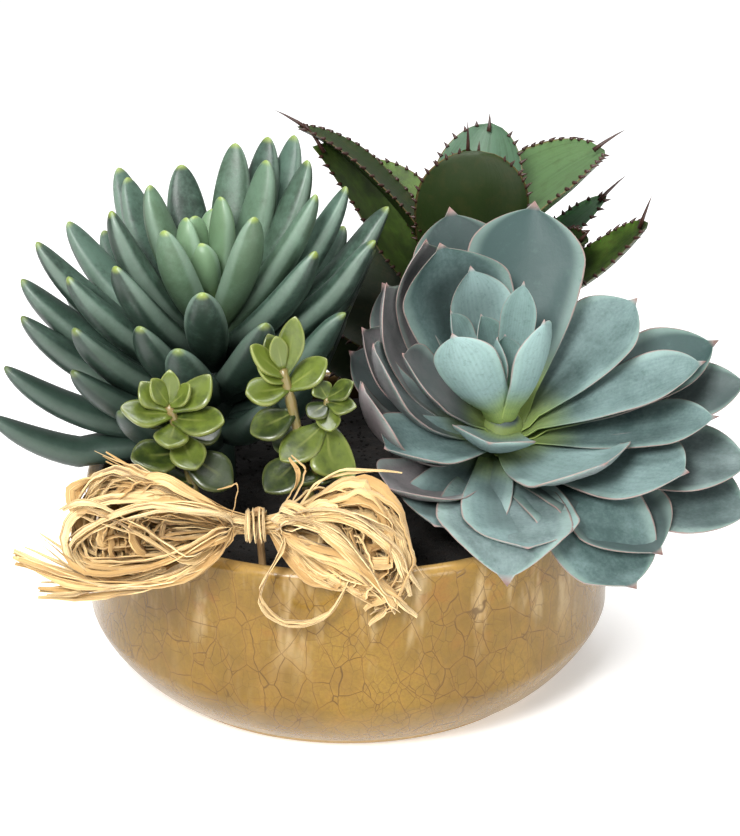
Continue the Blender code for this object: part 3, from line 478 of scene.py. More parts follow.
@dataclass(frozen=True)
class CrackleGlaze:
    """A glossy mustard glaze over pale clay, with a fine brown crackle, a painted highlight and a partly painted
    reflection towards the rim, and painted shade inside.
    """

    light: Colour = linear(130, 101, 31)
    deep: Colour = linear(96, 72, 17)
    mottled: Colour = linear(136, 104, 50)
    grainy: Colour = linear(100, 76, 32)
    # Pale clouding in the glaze, partly a painted reflection of the studio lights
    pale_glaze_and_reflection: Colour = linear(200, 178, 138)
    rusty: Colour = linear(118, 70, 26)
    stained: Colour = linear(140, 98, 40)
    crack: Colour = linear(66, 44, 16)
    # A painted highlight along the rounded rim
    painted_rim_highlight: Colour = linear(190, 156, 100)
    # Painted shade on the inside of the wall above the soil
    painted_inner_shade: Colour = linear(58, 42, 24)
    clay: Colour = linear(190, 166, 128)
    dark_clay: Colour = linear(176, 148, 108)
    cell: float = 8.5
    fine_cell: float = 3.6
    low_cells: Place = (1.0, 1.0, 0.62)
    wander: float = 0.0032
    clay_rough: float = 0.8

    def cracks(self, graph: Graph, cell: float, line: float, bent: Pin) -> Pin:
        """The crack lines of one net of cells, 1 on a line."""
        tall = graph.add("Mapping", {"Vector": bent, "Scale": self.low_cells}).outputs[0]
        inputs = {"Vector": tall, "Scale": 1.0 / (cell * MM), "Randomness": 1.0}
        edge = graph.add("TexVoronoi", inputs, feature="DISTANCE_TO_EDGE").outputs["Distance"]
        return graph.line(graph.step(edge, 0.15 * line / cell, line / cell), -1.0, 1.0)

    def make(self) -> Material:
        """Builds the material."""
        graph = Graph("crackle_glaze")
        bent = graph.vector("ADD", graph.place, graph.wander(graph.place, 90.0, 2.0, self.wander))
        wide = self.cracks(graph, self.cell, 0.14, bent)
        fine = self.cracks(graph, self.fine_cell, 0.11, bent)
        fine = graph.times(fine, graph.line(graph.step(graph.noise(16.0), 0.40, 0.62), 0.55, 0.25))
        wide = graph.times(wide, graph.line(graph.step(graph.noise(7.0), 0.3, 0.6), 0.45, 0.55))
        lines = graph.math("MAXIMUM", wide, fine)
        height = graph.add("SeparateXYZ", {0: graph.place}).outputs[2]
        high = graph.step(height, 30.0 * MM, 60.0 * MM)
        mottle = graph.noise(2.4, 3.0, 0.65)
        # Pale streaks up the wall: partly the glaze's own clouding, partly a painted reflection
        cloud = graph.step(graph.noise(10.0, 3.0, 0.6, (1.0, 1.0, 0.3)), 0.5, 0.7)
        rust = graph.step(graph.noise(13.0, 3.0, 0.6), 0.56, 0.7)
        # The inner wall, from a little above the soil up, takes painted shade
        inward = graph.vector("LENGTH", graph.vector("MULTIPLY", graph.place, (1.0, 1.0, 0.0)))
        inside = graph.step(inward, (BOWL_RADIUS - 3.5) * MM, (BOWL_RADIUS - 5.5) * MM)
        body = graph.layers(
            graph.mix(graph.step(graph.noise(26.0, 4.0, 0.6), 0.3, 0.72), self.deep, self.light),
            (self.mottled, mottle, 0.42),
            (self.grainy, graph.step(graph.noise(0.9, 3.0, 0.7), 0.36, 0.66), 0.46),
            # Pale streaks, stronger towards the rim: partly clouding in the glaze, partly a painted reflection of the
            # studio lights
            (self.pale_glaze_and_reflection, cloud, graph.line(high, 0.4, 0.04)),
            (self.rusty, rust, graph.line(high, 0.3, 0.12)),
            (self.stained, self.cracks(graph, self.cell, 1.6, bent), 0.14),
            (self.crack, lines, 0.72),
            # Painted highlight along the top of the rim
            (self.painted_rim_highlight, graph.step(height, (BOWL_HEIGHT - 3.0) * MM, BOWL_HEIGHT * MM), 0.35),
            # Painted shade on the inner wall, from just above the soil to the rim
            (self.painted_inner_shade, inside, graph.step(height, 50.0 * MM, 55.0 * MM), 0.85),
        )
        foot = graph.line(graph.noise(14.0), 3.0 * MM, 1.6 * MM)
        glazed = graph.step(graph.math("SUBTRACT", height, foot), 0.0, 0.6 * MM)
        bare = graph.mix(graph.noise(1.6, 3.0), self.clay, self.dark_clay)
        shine = {0: glazed, 2: self.clay_rough, 3: graph.line(mottle, 0.10, 0.20)}
        rough = graph.add("Mix", shine, data_type="FLOAT").outputs[0]
        waves = graph.bump(graph.noise(18.0, 1.0), 0.5, 0.5)
        normal = graph.bump(graph.line(lines, -1.0, 1.0), 0.08, 0.7, waves)
        return graph.finish(graph.mix(glazed, bare, body), rough, normal,
                            {Socket.COAT: 0.12, Socket.COAT_ROUGHNESS: 0.16, Socket.SPECULAR: 0.2})


@dataclass(frozen=True)
class PottingMix:
    """Dark damp potting mix."""

    wet: Colour = linear(9, 6, 4)
    dry: Colour = linear(28, 20, 14)
    fleck: Colour = linear(58, 44, 32)

    def make(self) -> Material:
        """Builds the material."""
        graph = Graph("potting_mix")
        colour = graph.layers(
            graph.mix(graph.step(graph.noise(4.0, 5.0, 0.7), 0.38, 0.7), self.wet, self.dry),
            (self.fleck, graph.step(graph.noise(1.5), 0.68, 0.74), 0.5),
        )
        return graph.finish(colour, 0.92, graph.bump(graph.noise(1.8, 5.0, 0.7), 0.8, 0.9))


@dataclass(frozen=True)
class BlueChalkSkin:
    """The finger leaves: deep blue-green under a thin bloom, with a painted highlight along the sides, painted shade
    low on the older ones, and yellow-green tips.
    """

    deep: Colour = linear(32, 47, 38)
    bloom: Colour = linear(76, 100, 87)
    young: Colour = linear(122, 152, 114)
    young_root: Colour = linear(112, 136, 66)
    # The older, lower fingers' darkening: partly their own tone, partly painted shade
    old: Colour = linear(30, 45, 38)
    # Painted shade at the roots of the older fingers, where they crowd together
    painted_root_shade: Colour = linear(18, 28, 22)
    tip: Colour = linear(138, 154, 70)
    # A painted highlight along the fingers' sides
    side: Colour = linear(140, 162, 146)
    scar: Colour = linear(60, 70, 50)

    def make(self) -> Material:
        """Builds the material."""
        graph = Graph("blue_chalk_skin")
        along, across, upper, age, draw = graph.attributes("along", "across", "upper", "age", "draw")
        haze, dust = graph.noise(7.0, 4.0, 0.65), graph.noise(1.3, 3.0, 0.7)
        cover = graph.total(-0.26, (haze, 0.65), (dust, 0.35), (upper, 0.22), (draw, 0.24))
        side = graph.step(graph.math("ABSOLUTE", across), 0.78, 1.0)
        youth = graph.step(age, 0.42, 0.02)
        colour = graph.layers(
            graph.mix(graph.step(cover, 0.28, 0.78), self.deep, self.bloom),
            (self.young, youth, 0.65),
            (self.young_root, graph.step(along, 0.5, 0.05), youth, 0.6),
            # Painted shade low on the older fingers
            (self.painted_root_shade, graph.step(along, 0.62, 0.15), graph.line(youth, -0.75, 0.75)),
            (self.tip, graph.step(along, 0.965, 1.0), 0.75),
            # Painted highlight along each finger's sides
            (self.side, side, graph.step(along, 0.2, 0.5), 0.36),
            # Older, lower fingers darker: partly their own tone, partly painted shade
            (self.old, graph.step(age, 0.4, 0.9), 0.7),
            (self.scar, graph.step(graph.noise(2.2), 0.74, 0.8), 0.5),
        )
        normal = graph.bump(dust, 0.10, 0.5, graph.bump(haze, 0.5, 0.4))
        return graph.finish(colour, graph.line(cover, 0.22, 0.34), normal,
                            {Socket.SPECULAR: 0.45, **flesh(0.06, (0.4, 1.0, 0.5), 0.002)})


@dataclass(frozen=True)
class EcheveriaSkin:
    """The broad leaves: powdery grey-green, yellow-green at the root, pink along the margin, with painted shade in the
    hollows and a partly painted highlight along the edges.
    """

    powder: Colour = linear(114, 136, 134)
    shade: Colour = linear(50, 70, 68)
    root: Colour = linear(158, 178, 86)
    inner: Colour = linear(140, 167, 163)
    # Mauve-pink, chiefly for the older leaves' undersides: partly their own colour, set paler as painted light
    blush: Colour = linear(134, 125, 126)
    # Painted shade low on the upper face of the older leaves
    hollow: Colour = linear(34, 48, 26)
    # Painted shade in the hollow of a leaf's upper face
    pit: Colour = linear(22, 32, 30)
    # Pale leaf edges: partly their own pale line, partly a painted highlight
    pale_edge_and_highlight: Colour = linear(158, 182, 172)
    rubbed: Colour = linear(66, 90, 84)
    margin: Colour = linear(146, 104, 98)

    def make(self) -> Material:
        """Builds the material."""
        graph = Graph("echeveria_skin")
        along, across, upper, age = graph.attributes("along", "across", "upper", "age")
        blush, draw, pit = graph.attributes("blush", "draw", "stem")
        cloud, dust = graph.noise(15.0, 4.0, 0.6), graph.noise(1.1, 3.0, 0.65)
        cover = graph.total(-0.38, (cloud, 0.75), (dust, 0.25), (draw, 0.7))
        young = graph.step(age, 0.5, 0.15)
        near = graph.math("DIVIDE", along, graph.line(young, 0.08, 0.4))
        near = graph.step(graph.total(0.85, (near, -1.0), (cloud, 0.3)), 0.0, 0.75)
        lane = graph.add("CombineXYZ", {0: across, 1: graph.times(along, 0.4)}).outputs[0]
        veins = {"Vector": lane, "Scale": 2.2, "Distortion": 1.6, "Detail": 2.0, "Detail Scale": 1.5}
        grown = graph.times(graph.line(upper, -1.0, 1.0), graph.step(age, 0.35, 0.7))
        rosy = graph.times(graph.line(grown, 0.55, blush), graph.line(cloud, 1.4, 0.15), graph.step(along, 0.05, 0.55))
        side = graph.math("ABSOLUTE", across)
        rubbed = graph.step(graph.noise(5.0, 5.0, 0.7), 0.58, 0.70)
        ragged = graph.math("SUBTRACT", side, graph.line(graph.noise(4.0), 0.04, 0.94))
        edge = graph.times(graph.step(ragged, 0.0, 0.03), graph.step(along, 0.28, 0.62), 0.58)
        edge = graph.math("MAXIMUM", edge, graph.times(graph.step(along, 0.99, 1.0), 0.8))
        colour = graph.layers(
            graph.mix(graph.step(cover, 0.2, 0.82), self.shade, self.powder),
            (self.inner, young, 0.55),
            (self.root, near, 0.85),
            (self.shade, graph.add("TexWave", veins).outputs["Fac"], 0.10),
            # Mauve-pink undersides: partly their own colour, set paler as painted light where they face away from the
            # lamps
            (self.blush, graph.math("MINIMUM", rosy, 0.9)),
            # Painted shade towards the root on the upper face of the older leaves
            (self.hollow, graph.step(along, 0.55, 0.1), graph.step(age, 0.2, 0.5), upper, 0.6),
            # Painted shade in the hollow of the upper face, as much as the leaf's pit gives
            (self.pit, graph.step(side, 0.95, 0.3), graph.step(along, 1.0, 0.72), upper, pit, 0.8),
            (self.shade, graph.step(graph.noise(1.4, 4.0, 0.75), 0.5, 0.7), 0.28),
            # Pale edges: partly the leaf's own, partly a painted highlight
            (self.pale_edge_and_highlight, graph.step(side, 0.72, 0.96), graph.step(along, 0.2, 0.6), 0.3),
            (self.rubbed, rubbed, graph.line(age, 0.4, 0.12)),
            (self.margin, edge),
        )
        normal = graph.bump(dust, 0.08, 0.5, graph.bump(cloud, 1.0, 0.35))
        return graph.finish(colour, graph.line(cover, 0.18, 0.5), normal,
                            {Socket.SPECULAR: 0.28, **flesh(0.08, (0.5, 1.0, 0.6), 0.003)})


@dataclass(frozen=True)
class AgaveSkin:
    """The toothed leaves: satin green, paler within, darker underneath as painted shade, with a thin brown margin."""

    bright: Colour = linear(76, 101, 36)
    dark: Colour = linear(31, 45, 14)
    bloom: Colour = linear(78, 106, 88)
    blotch: Colour = linear(52, 52, 22)
    root: Colour = linear(150, 172, 110)
    margin: Colour = linear(112, 84, 52)

    def make(self) -> Material:
        """Builds the material."""
        graph = Graph("agave_skin")
        along, across, upper, draw = graph.attributes("along", "across", "upper", "draw")
        cloud = graph.noise(11.0, 4.0, 0.6)
        haze = graph.line(graph.noise(22.0, 3.0), 0.5, 0.6)
        blotch = graph.step(graph.noise(4.5, 4.0, 0.7), 0.48, 0.66)
        lane = graph.add("CombineXYZ", {0: graph.times(across, 9.0), 1: along, 2: draw}).outputs[0]
        streaks = graph.texture(lane, 1.4, 3.0, 0.6)
        edge = graph.step(graph.math("ABSOLUTE", across), 0.95, 0.995)
        colour = graph.layers(
            graph.mix(graph.step(graph.total(-0.4, (cloud, 1.0), (draw, 0.9)), 0.25, 0.8), self.dark, self.bright),
            (self.bloom, haze, graph.step(draw, 0.6, 1.0)),
            (self.blotch, blotch, graph.line(draw, -0.4, 0.5)),
            (self.dark, graph.step(streaks, 0.45, 0.7), 0.25),
            # Painted shade: the underside darkened
            (self.dark, graph.line(upper, -0.35, 0.35)),
            (self.root, graph.step(along, 0.3, 0.0), 0.7),
            (self.margin, edge, 0.7),
        )
        normal = graph.bump(graph.noise(0.8, 3.0), 0.06, 0.5, graph.bump(streaks, 0.25, 0.4))
        return graph.finish(colour, graph.line(cloud, 0.15, 0.42), normal,
                            {Socket.SPECULAR: 0.3, **flesh(0.05, (0.4, 1.0, 0.3), 0.002)})


@dataclass(frozen=True)
class Thorn:
    """The agave's end spines and teeth: dry red-brown, darker in patches."""

    dark: Colour = linear(22, 15, 12)
    dry: Colour = linear(74, 42, 32)

    def make(self) -> Material:
        """Builds the material."""
        graph = Graph("thorn")
        tone = graph.noise(1.5, 3.0, 0.6)
        return graph.finish(graph.mix(tone, self.dark, self.dry), 0.45, graph.bump(tone, 0.1, 0.5))


@dataclass(frozen=True)
class JadeSkin:
    """The sprigs' plump leaves: glossy yellow-green with paler, clearer edges."""

    green: Colour = linear(86, 99, 34)
    deep: Colour = linear(36, 48, 18)
    pale: Colour = linear(142, 146, 82)
    stem: Colour = linear(86, 96, 44)
    bark: Colour = linear(128, 100, 62)

    def make(self) -> Material:
        """Builds the material."""
        graph = Graph("jade_skin")
        along, across, draw, stem = graph.attributes("along", "across", "draw", "stem")
        cloud = graph.noise(5.0, 4.0, 0.6)
        side = graph.math("ABSOLUTE", across)
        rim = graph.times(graph.step(side, 0.72, 0.99), graph.step(along, 0.15, 0.5))
        rim = graph.math("MAXIMUM", rim, graph.step(along, 0.9, 1.0))
        colour = graph.layers(
            graph.mix(graph.step(graph.total(-0.4, (cloud, 1.0), (draw, 0.7)), 0.2, 0.75), self.deep, self.green),
            (self.pale, rim, graph.line(draw, 0.4, 0.1)),
            (self.pale, graph.step(side, 0.12, 0.02), graph.step(along, 0.8, 0.3), 0.3),
            (graph.mix(cloud, self.stem, self.bark), stem),
        )
        normal = graph.bump(graph.noise(0.7), 0.05, 0.5, graph.bump(cloud, 0.5, 0.3))
        return graph.finish(colour, graph.line(cloud, 0.16, 0.25), normal,
                            {Socket.COAT: 0.12, Socket.COAT_ROUGHNESS: 0.2, **flesh(0.12, (0.6, 1.0, 0.2), 0.002)})


@dataclass(frozen=True)
class RaffiaFibre:
    """Dry palm fibre: straw-coloured, streaked along its length."""

    light: Colour = linear(230, 203, 148)
    tan: Colour = linear(176, 140, 86)
    brown: Colour = linear(94, 58, 26)

    def make(self) -> Material:
        """Builds the material."""
        graph = Graph("raffia_fibre")
        (draw,) = graph.attributes("draw")
        lengthwise = graph.add("UVMap", {}, uv_map="strand_map").outputs[0]
        lengthwise = graph.add("Mapping", {"Vector": lengthwise, "Scale": (16.0, 0.9, 1.0)}).outputs[0]
        streak = graph.texture(lengthwise, 1.0, 4.0, 0.65)
        dark = graph.step(graph.total(0.17, (streak, 1.0), (draw, -0.34)), 0.46, 0.28)
        colour = graph.layers(
            graph.mix(graph.step(graph.total(-0.25, (streak, 1.0), (draw, 0.5)), 0.28, 0.75), self.tan, self.light),
            (self.brown, dark, 0.85),
            (self.tan, graph.step(graph.noise(9.0, 3.0), 0.6, 0.75), 0.35),
        )
        return graph.finish(colour, 0.62, graph.bump(streak, 0.3, 0.8), {Socket.SPECULAR: 0.35, Socket.SHEEN: 0.15})


@dataclass(frozen=True)
class PickWood:
    """Plain pale birch, weathered by the soil."""

    pale: Colour = linear(196, 160, 112)
    dark: Colour = linear(140, 104, 64)

    def make(self) -> Material:
        """Builds the material."""
        graph = Graph("pick_wood")
        grain = graph.noise(1.2, 4.0, 0.6, (1.0, 1.0, 0.08))
        return graph.finish(graph.mix(grain, self.pale, self.dark), 0.7, graph.bump(grain, 0.1, 0.6))


@dataclass(frozen=True)
class Leaf:
    """One leaf: its tip in millimetres, its seat from low (0) to high (1), and its shape.

    Its tone runs from dark (0) to pale (1): partly the leaf's own colour, partly painted light and shade
    set leaf by leaf. Its pit (0 to 1) paints shade into the hollow, its lift turns an end spine up, and
    its spike is that spine's length in shares of the usual one.
    """

    tip: Place
    seat: float
    width: float
    curl: float = 20.0
    blush: float = 0.0
    cup: float = 1.0
    roll: float = 0.0
    # Partly the leaf's own colour, partly painted light and shade set leaf by leaf
    tone: float = 0.5
    # How much painted shade the hollow takes
    pit: float = 0.0
    lift: float = 0.2
    spike: float = 1.0


@dataclass(frozen=True)
class Crown:
    """Where a rosette's leaves grow: the middle of the crown, its axis and its depth."""

    middle: Vector
    axis: Vector
    depth: float


Section = Callable[[float, float, float], list[tuple[float, float, float, float]]]


@dataclass(frozen=True)
class Form:
    """A kind of leaf: its outline, thickness and section along the way to its tip."""

    stations: tuple[float, ...]
    half_width: Callable[[float], float]
    thickness: Callable[[float], float]
    section: Section
    tip: float = 1.0
    wave: float = 0.0


@dataclass(frozen=True)
class Edge:
    """A leaf's margins at one station: the left and the right, and the forward and side directions."""

    left: Vector
    right: Vector
    forward: Vector
    side: Vector


def grow_leaf(maker: MeshMaker, leaf: Leaf, crown: Crown, form: Form, limits: Sequence[Push],
              draw: float) -> list[Edge]:
    """Adds one leaf to a mesh, grown from its seat and bent clear of its neighbours.

    Args:
        maker: The mesh being made.
        leaf: The leaf's place and shape.
        crown: The crown it grows from.
        form: Its kind.
        limits: The pushes that keep it on its own side.
        draw: A random number from 0 to 1 for its finish.

    Returns:
        Its margins at each station.
    """
    centre = crown.middle + crown.axis * crown.depth * (leaf.seat - 0.5)
    reach = Vector(leaf.tip) - centre
    way = reach.normalized()
    up = (crown.axis - way * crown.axis.dot(way)).normalized()
    side = way.cross(up).normalized()
    side.rotate(Matrix.Rotation(math.radians(leaf.roll), 3, way))
    up = side.cross(way).normalized()
    rings: Rings = []
    marks: list[list[dict[str, float]]] = []
    edges: list[Edge] = []
    at = 0.0
    for t in (*form.stations, form.tip):
        turn = math.radians(leaf.curl) * (0.5 * (at + t) - 0.5)
        step = way * math.cos(turn) + up * math.sin(turn)
        normal = up * math.cos(turn) - way * math.sin(turn)
        centre = centre + step * (t - at) * reach.length
        at = t
        if t == form.tip:
            break
        half = form.half_width(t) * leaf.width / 2
        shape = form.section(leaf.cup, half, form.thickness(t) * leaf.width)
        ring = []
        for x, y, across, _ in shape:
            ripple = noise.noise(Vector((draw * 40.0 + 3.0 * across, t * 5.0, 0.0)))
            ring.append(centre + side * x + normal * (y + form.wave * ripple * abs(across) * half))
        ring = clear_of(ring, limits) if t > HELD_ROOT else ring
        rings.append(ring)
        # The stem attribute carries the leaf's pit, its painted shade in the hollow
        leaf_marks = {"along": min(t, 1.0), "age": 1.0 - leaf.seat, "blush": leaf.blush, "draw": draw, "stem": leaf.pit}
        marks.append([{**leaf_marks, "across": across, "upper": top} for _, _, across, top in shape])
        outer = sorted(range(len(shape)), key=lambda k: shape[k][0])
        edges.append(Edge(ring[outer[0]], ring[outer[-1]], step, side))
    maker.add_body(rings, marks, clear_of([centre, centre + side * 0.4], limits)[0])
    return edges


def swell(t: float, widest: float, base: float, power: float = 2.0) -> float:
    """An outline that grows from its base to its widest place, then rounds in to the tip."""
    if t < widest:
        return base + (1 - base) * math.sin(0.5 * math.pi * t / widest) ** 1.3
    return max(0.0, 1 - ((t - widest) / (1.0 - widest)) ** power) ** (1 / power)


def cusped(t: float, widest: float, base: float, fullness: float, sharpness: float, point: float) -> float:
    """An outline that grows to its widest place, stays full, then draws in to a short point.

    Args:
        t: The place along the leaf, from 0 to 1.
        widest: Where the leaf is widest.
        base: The width at the root, in shares of the widest.
        fullness: How long the leaf stays full past its widest place.
        sharpness: How fast it closes: 1 gives a straight-sided point, less a rounder one.
        point: The least width, at the very tip.

    Returns:
        The half width, in shares of the widest.
    """
    if t < widest:
        return base + (1 - base) * math.sin(0.5 * math.pi * t / widest) ** 1.3
    s = min((t - widest) / (1.0 - widest), 1.0)
    return max((1 - s ** fullness) ** sharpness, point)


def eased(count: int, last: float) -> tuple[float, ...]:
    """Stations from the root to a last one, closer together near the tip."""
    return tuple(last * math.sin(0.5 * math.pi * i / (count - 1)) ** 0.9 for i in range(count))


def round_section(shape: Callable[[float, float, float, float], tuple[float, float]]) -> Section:
    """A section of points round a middle, by a shape that takes x, y, the half width and the thickness."""

    def section(_: float, half: float, thick: float) -> list[tuple[float, float, float, float]]:
        """The section at one station."""
        turns = [2 * math.pi * k / ROUND_SIDES for k in range(ROUND_SIDES)]
        return [(*shape(math.cos(a), math.sin(a), half, thick), math.cos(a), 0.5 + 0.5 * math.sin(a)) for a in turns]

    return section


def finger_shape(x: float, y: float, half: float, thick: float) -> tuple[float, float]:
    """A plump section, flatter on its upper side, with a soft keel below."""
    return half * math.copysign(abs(x) ** 0.85, x), thick * y * (0.62 if y > 0 else 1.0)


def plump_shape(x: float, y: float, half: float, thick: float) -> tuple[float, float]:
    """A small fat section, slightly dished above."""
    return half * x, thick * (0.55 * y - 0.28 * y ** 3 if y > 0 else 0.85 * y) + 0.10 * half * x * x


def blade_section(cup: float, rim: float, count: int, keel: float) -> Section:
    """A broad section: hollow above, lens-thick, with a rounded margin.

    Args:
        cup: How far the margins stand above the middle, in half widths.
        rim: The thickness at the margin, in shares of the middle's.
        count: The points across each face.
        keel: How much the under face gathers to a ridge.

    Returns:
        The section's function.
    """

    def section(deeper: float, half: float, thick: float) -> list[tuple[float, float, float, float]]:
        """The section at one station."""
        upper, under = [], []
        for k in range(count + 1):
            x = -math.cos(math.pi * k / count)
            lift = cup * deeper * half * abs(x) ** 1.7
            body = thick * (rim + (1 - rim) * (1 - abs(x) ** 2.2)) * (1 - keel * min(1.0, abs(x) * 1.6))
            if 0 < k < count:
                under.append((half * x, lift - body, x, 0.0))
            upper.append((half * x, lift, x, 1.0 if 0 < k < count else 0.5))
        return upper + under[::-1]

    return section


FINGER = Form(
    eased(20, 0.995),
    lambda t: cusped(t, 0.6, 0.6, 2.3, 0.57, 0.05),
    lambda t: 0.43 * cusped(t, 0.5, 0.7, 2.3, 0.57, 0.06),
    round_section(finger_shape),
)
SPOON = Form(
    eased(34, 0.992),
    lambda t: cusped(t, 0.77, 0.3, 2.0, 0.76, 0.03),
    lambda t: 0.085 * swell(min(t, 0.985), 0.3, 0.9, 2.0) + 0.008,
    blade_section(0.27, 0.24, 14, 0.2),
    1.035,
    0.05,
)
BLADE = Form(
    tuple(i / 46 for i in range(46)),
    lambda t: cusped(t, 0.6, 0.6, 2.3, 0.6, 0.05),
    lambda t: 0.13 * (1 - t) + 0.035,
    blade_section(0.30, 0.10, 10, 0.2),
    1.0,
    0.05,
)
PLUMP = Form(
    eased(14, 0.99),
    lambda t: cusped(t, 0.54, 0.3, 1.9, 0.74, 0.03),
    lambda t: 0.26 * cusped(t, 0.5, 0.7, 2.2, 0.5, 0.03),
    round_section(plump_shape),
)


@dataclass
class Bowl:
    """The bowl: its turned wall, in millimetres, with the wander of a hand-made pot."""

    radius: float = BOWL_RADIUS
    foot: float = FOOT_RADIUS
    height: float = BOWL_HEIGHT
    sides: int = 160
    wander: float = 0.25

    def outer(self, height: float) -> float:
        """The outside radius at a height."""
        t = min(max((height - FOOT_BAND) / (FLARE_HEIGHT - FOOT_BAND), 0.0), 1.0)
        spread = (1 - (1 - t) ** FLARE_POWER) ** (1 / FLARE_POWER)
        return self.foot + (self.radius - self.foot) * spread

    def profile(self) -> list[tuple[float, float]]:
        """The outline as (radius, height), from the middle of the foot up, over the rim and down inside."""
        rise = FLARE_HEIGHT - FOOT_BAND
        points = [(0.0, 0.0), (self.foot * 0.5, 0.0), (self.foot - 1.8, 0.0), (self.foot - 1.2, 0.3),
                  (self.foot - 1.0, 1.0), (self.foot - 0.9, FOOT_BAND - 0.3)]
        flare = [FOOT_BAND + rise * (i / 18) ** 1.6 for i in range(19)]
        points += [(self.outer(z) - (0.3 if z == FOOT_BAND else 0.0), z) for z in flare]
        top = self.height - RIM_ROUND
        points += [(self.radius, FLARE_HEIGHT + (top - FLARE_HEIGHT) * i / 10) for i in range(1, 10)]
        for i in range(15):
            a = math.pi * i / 14
            points.append((self.radius - RIM_ROUND + RIM_ROUND * math.cos(a), top + RIM_ROUND * math.sin(a)))
        inside = [top - 6.0, SOIL_TOP - 4.0, 50.0, FLARE_HEIGHT + 4.0, 20.0, 14.0, FLOOR + 3.0]
        points += [(self.outer(z) - WALL, z) for z in inside]
        points += [(self.outer(FLOOR) - WALL - 4.0, FLOOR), (0.0, FLOOR)]
        return points

    def mesh(self) -> MeshMaker:
        """Turns the profile about the bowl's axis."""
        maker = MeshMaker()
        rows: Rings = []
        turns = [2 * math.pi * i / self.sides for i in range(self.sides)]
        for radius, height in self.profile()[1:-1]:
            reach = self.wander * smooth(0.0, 20.0, height) * smooth(0.0, 60.0, radius)
            leans = [reach * noise.noise(level(1.0, a, height / 60.0) * 1.7) for a in turns]
            rows.append([level(radius + lean, a, height) for lean, a in zip(leans, turns)])
        maker.add_turned(rows, Vector(), Vector((0.0, 0.0, FLOOR)))
        return maker

    def make(self) -> list[Item]:
        """Builds and dresses the bowl."""
        return [settle(self.mesh().build("glazed_bowl", CrackleGlaze().make()), "glaze", "bowl")]


@dataclass
class Soil:
    """The potting mix: a lumpy bed with loose crumbs on top, in millimetres."""

    bed_radius: float = 83.2
    under: float = FLOOR + 0.4
    rings: int = 44
    sides: int = 120
    crumbs: float = 90000.0
    crumb: float = 1.5
    seed: int = 4

    def height(self, x: float, y: float) -> float:
        """The bed's height at a place."""
        spot = Vector((x, y, 0.0))
        lump = 1.6 * noise.noise(spot / 14.0) + 0.9 * noise.noise(spot / 5.0) + 0.4 * noise.noise(spot / 2.2)
        edge = smooth(self.bed_radius, self.bed_radius - 14.0, math.hypot(x, y))
        return SOIL_TOP - 1.5 + 1.5 * edge + lump

    def bed(self) -> MeshMaker:
        """The bed as one closed body."""
        maker = MeshMaker()
        turns = [2 * math.pi * i / self.sides for i in range(self.sides)]
        rows: Rings = []
        for k in range(1, self.rings + 1):
            radius = self.bed_radius * k / self.rings
            spots = [(radius * math.cos(a), radius * math.sin(a)) for a in turns]
            rows.append([Vector((x, y, self.height(x, y))) for x, y in spots])
        for radius, z in ((self.bed_radius, 40.0), (80.0, 20.0), (68.0, self.under)):
            rows.append([level(radius, a, z) for a in turns])
        maker.add_turned(rows, Vector((0.0, 0.0, self.height(0.0, 0.0))), Vector((0.0, 0.0, self.under)))
        return maker

    def crumb_tree(self, sizes: dict[str, float], material: Material) -> bpy.types.NodeTree:
        """The node tree that scatters crumbs over the faces that look up."""
        tree = Tree("scatter_crumbs", sizes)
        spread = {"Mesh": tree.given["Geometry"], "Density": tree.given["Density"], "Seed": tree.given["Seed"]}
        spots = tree.grow("DistributePointsOnFaces", spread).outputs["Points"]
        ball = tree.grow("MeshIcoSphere", {"Radius": 1.0, "Subdivisions": 1}).outputs[0]
        place = tree.grow("InputPosition", {}).outputs[0]
        dented = tree.vector("SCALE", place, scale=tree.texture(place, 1.1))
        crumb = tree.grow("SetPosition", {"Geometry": ball, "Position": dented}).outputs[0]
        turn = tree.random((0.0, 0.0, 0.0), (6.3, 6.3, 6.3), 3)
        size = tree.math("MULTIPLY", tree.random(0.35, 1.0, 9), tree.given["Size"])
        laid = {"Points": spots, "Instance": crumb, "Rotation": turn, "Scale": size}
        return tree.close(tree.grow("InstanceOnPoints", laid).outputs[0], material)

    def make(self) -> list[Item]:
        """Builds and dresses the bed and its crumbs."""
        mix = PottingMix().make()
        bed = settle(self.bed().build("soil_bed", mix), "soil", "soil")
        top = self.bed()
        top.faces = [face for face in top.faces if all(top.points[i].z > SOIL_TOP - 7.0 for i in face)]
        sizes = {"Density": self.crumbs, "Size": self.crumb * MM, "Seed": self.seed}
        crumbs = bake_tree(top.build("soil_crumbs", mix), self.crumb_tree(sizes, mix), sizes)
        return [bed, settle(crumbs, "soil")]


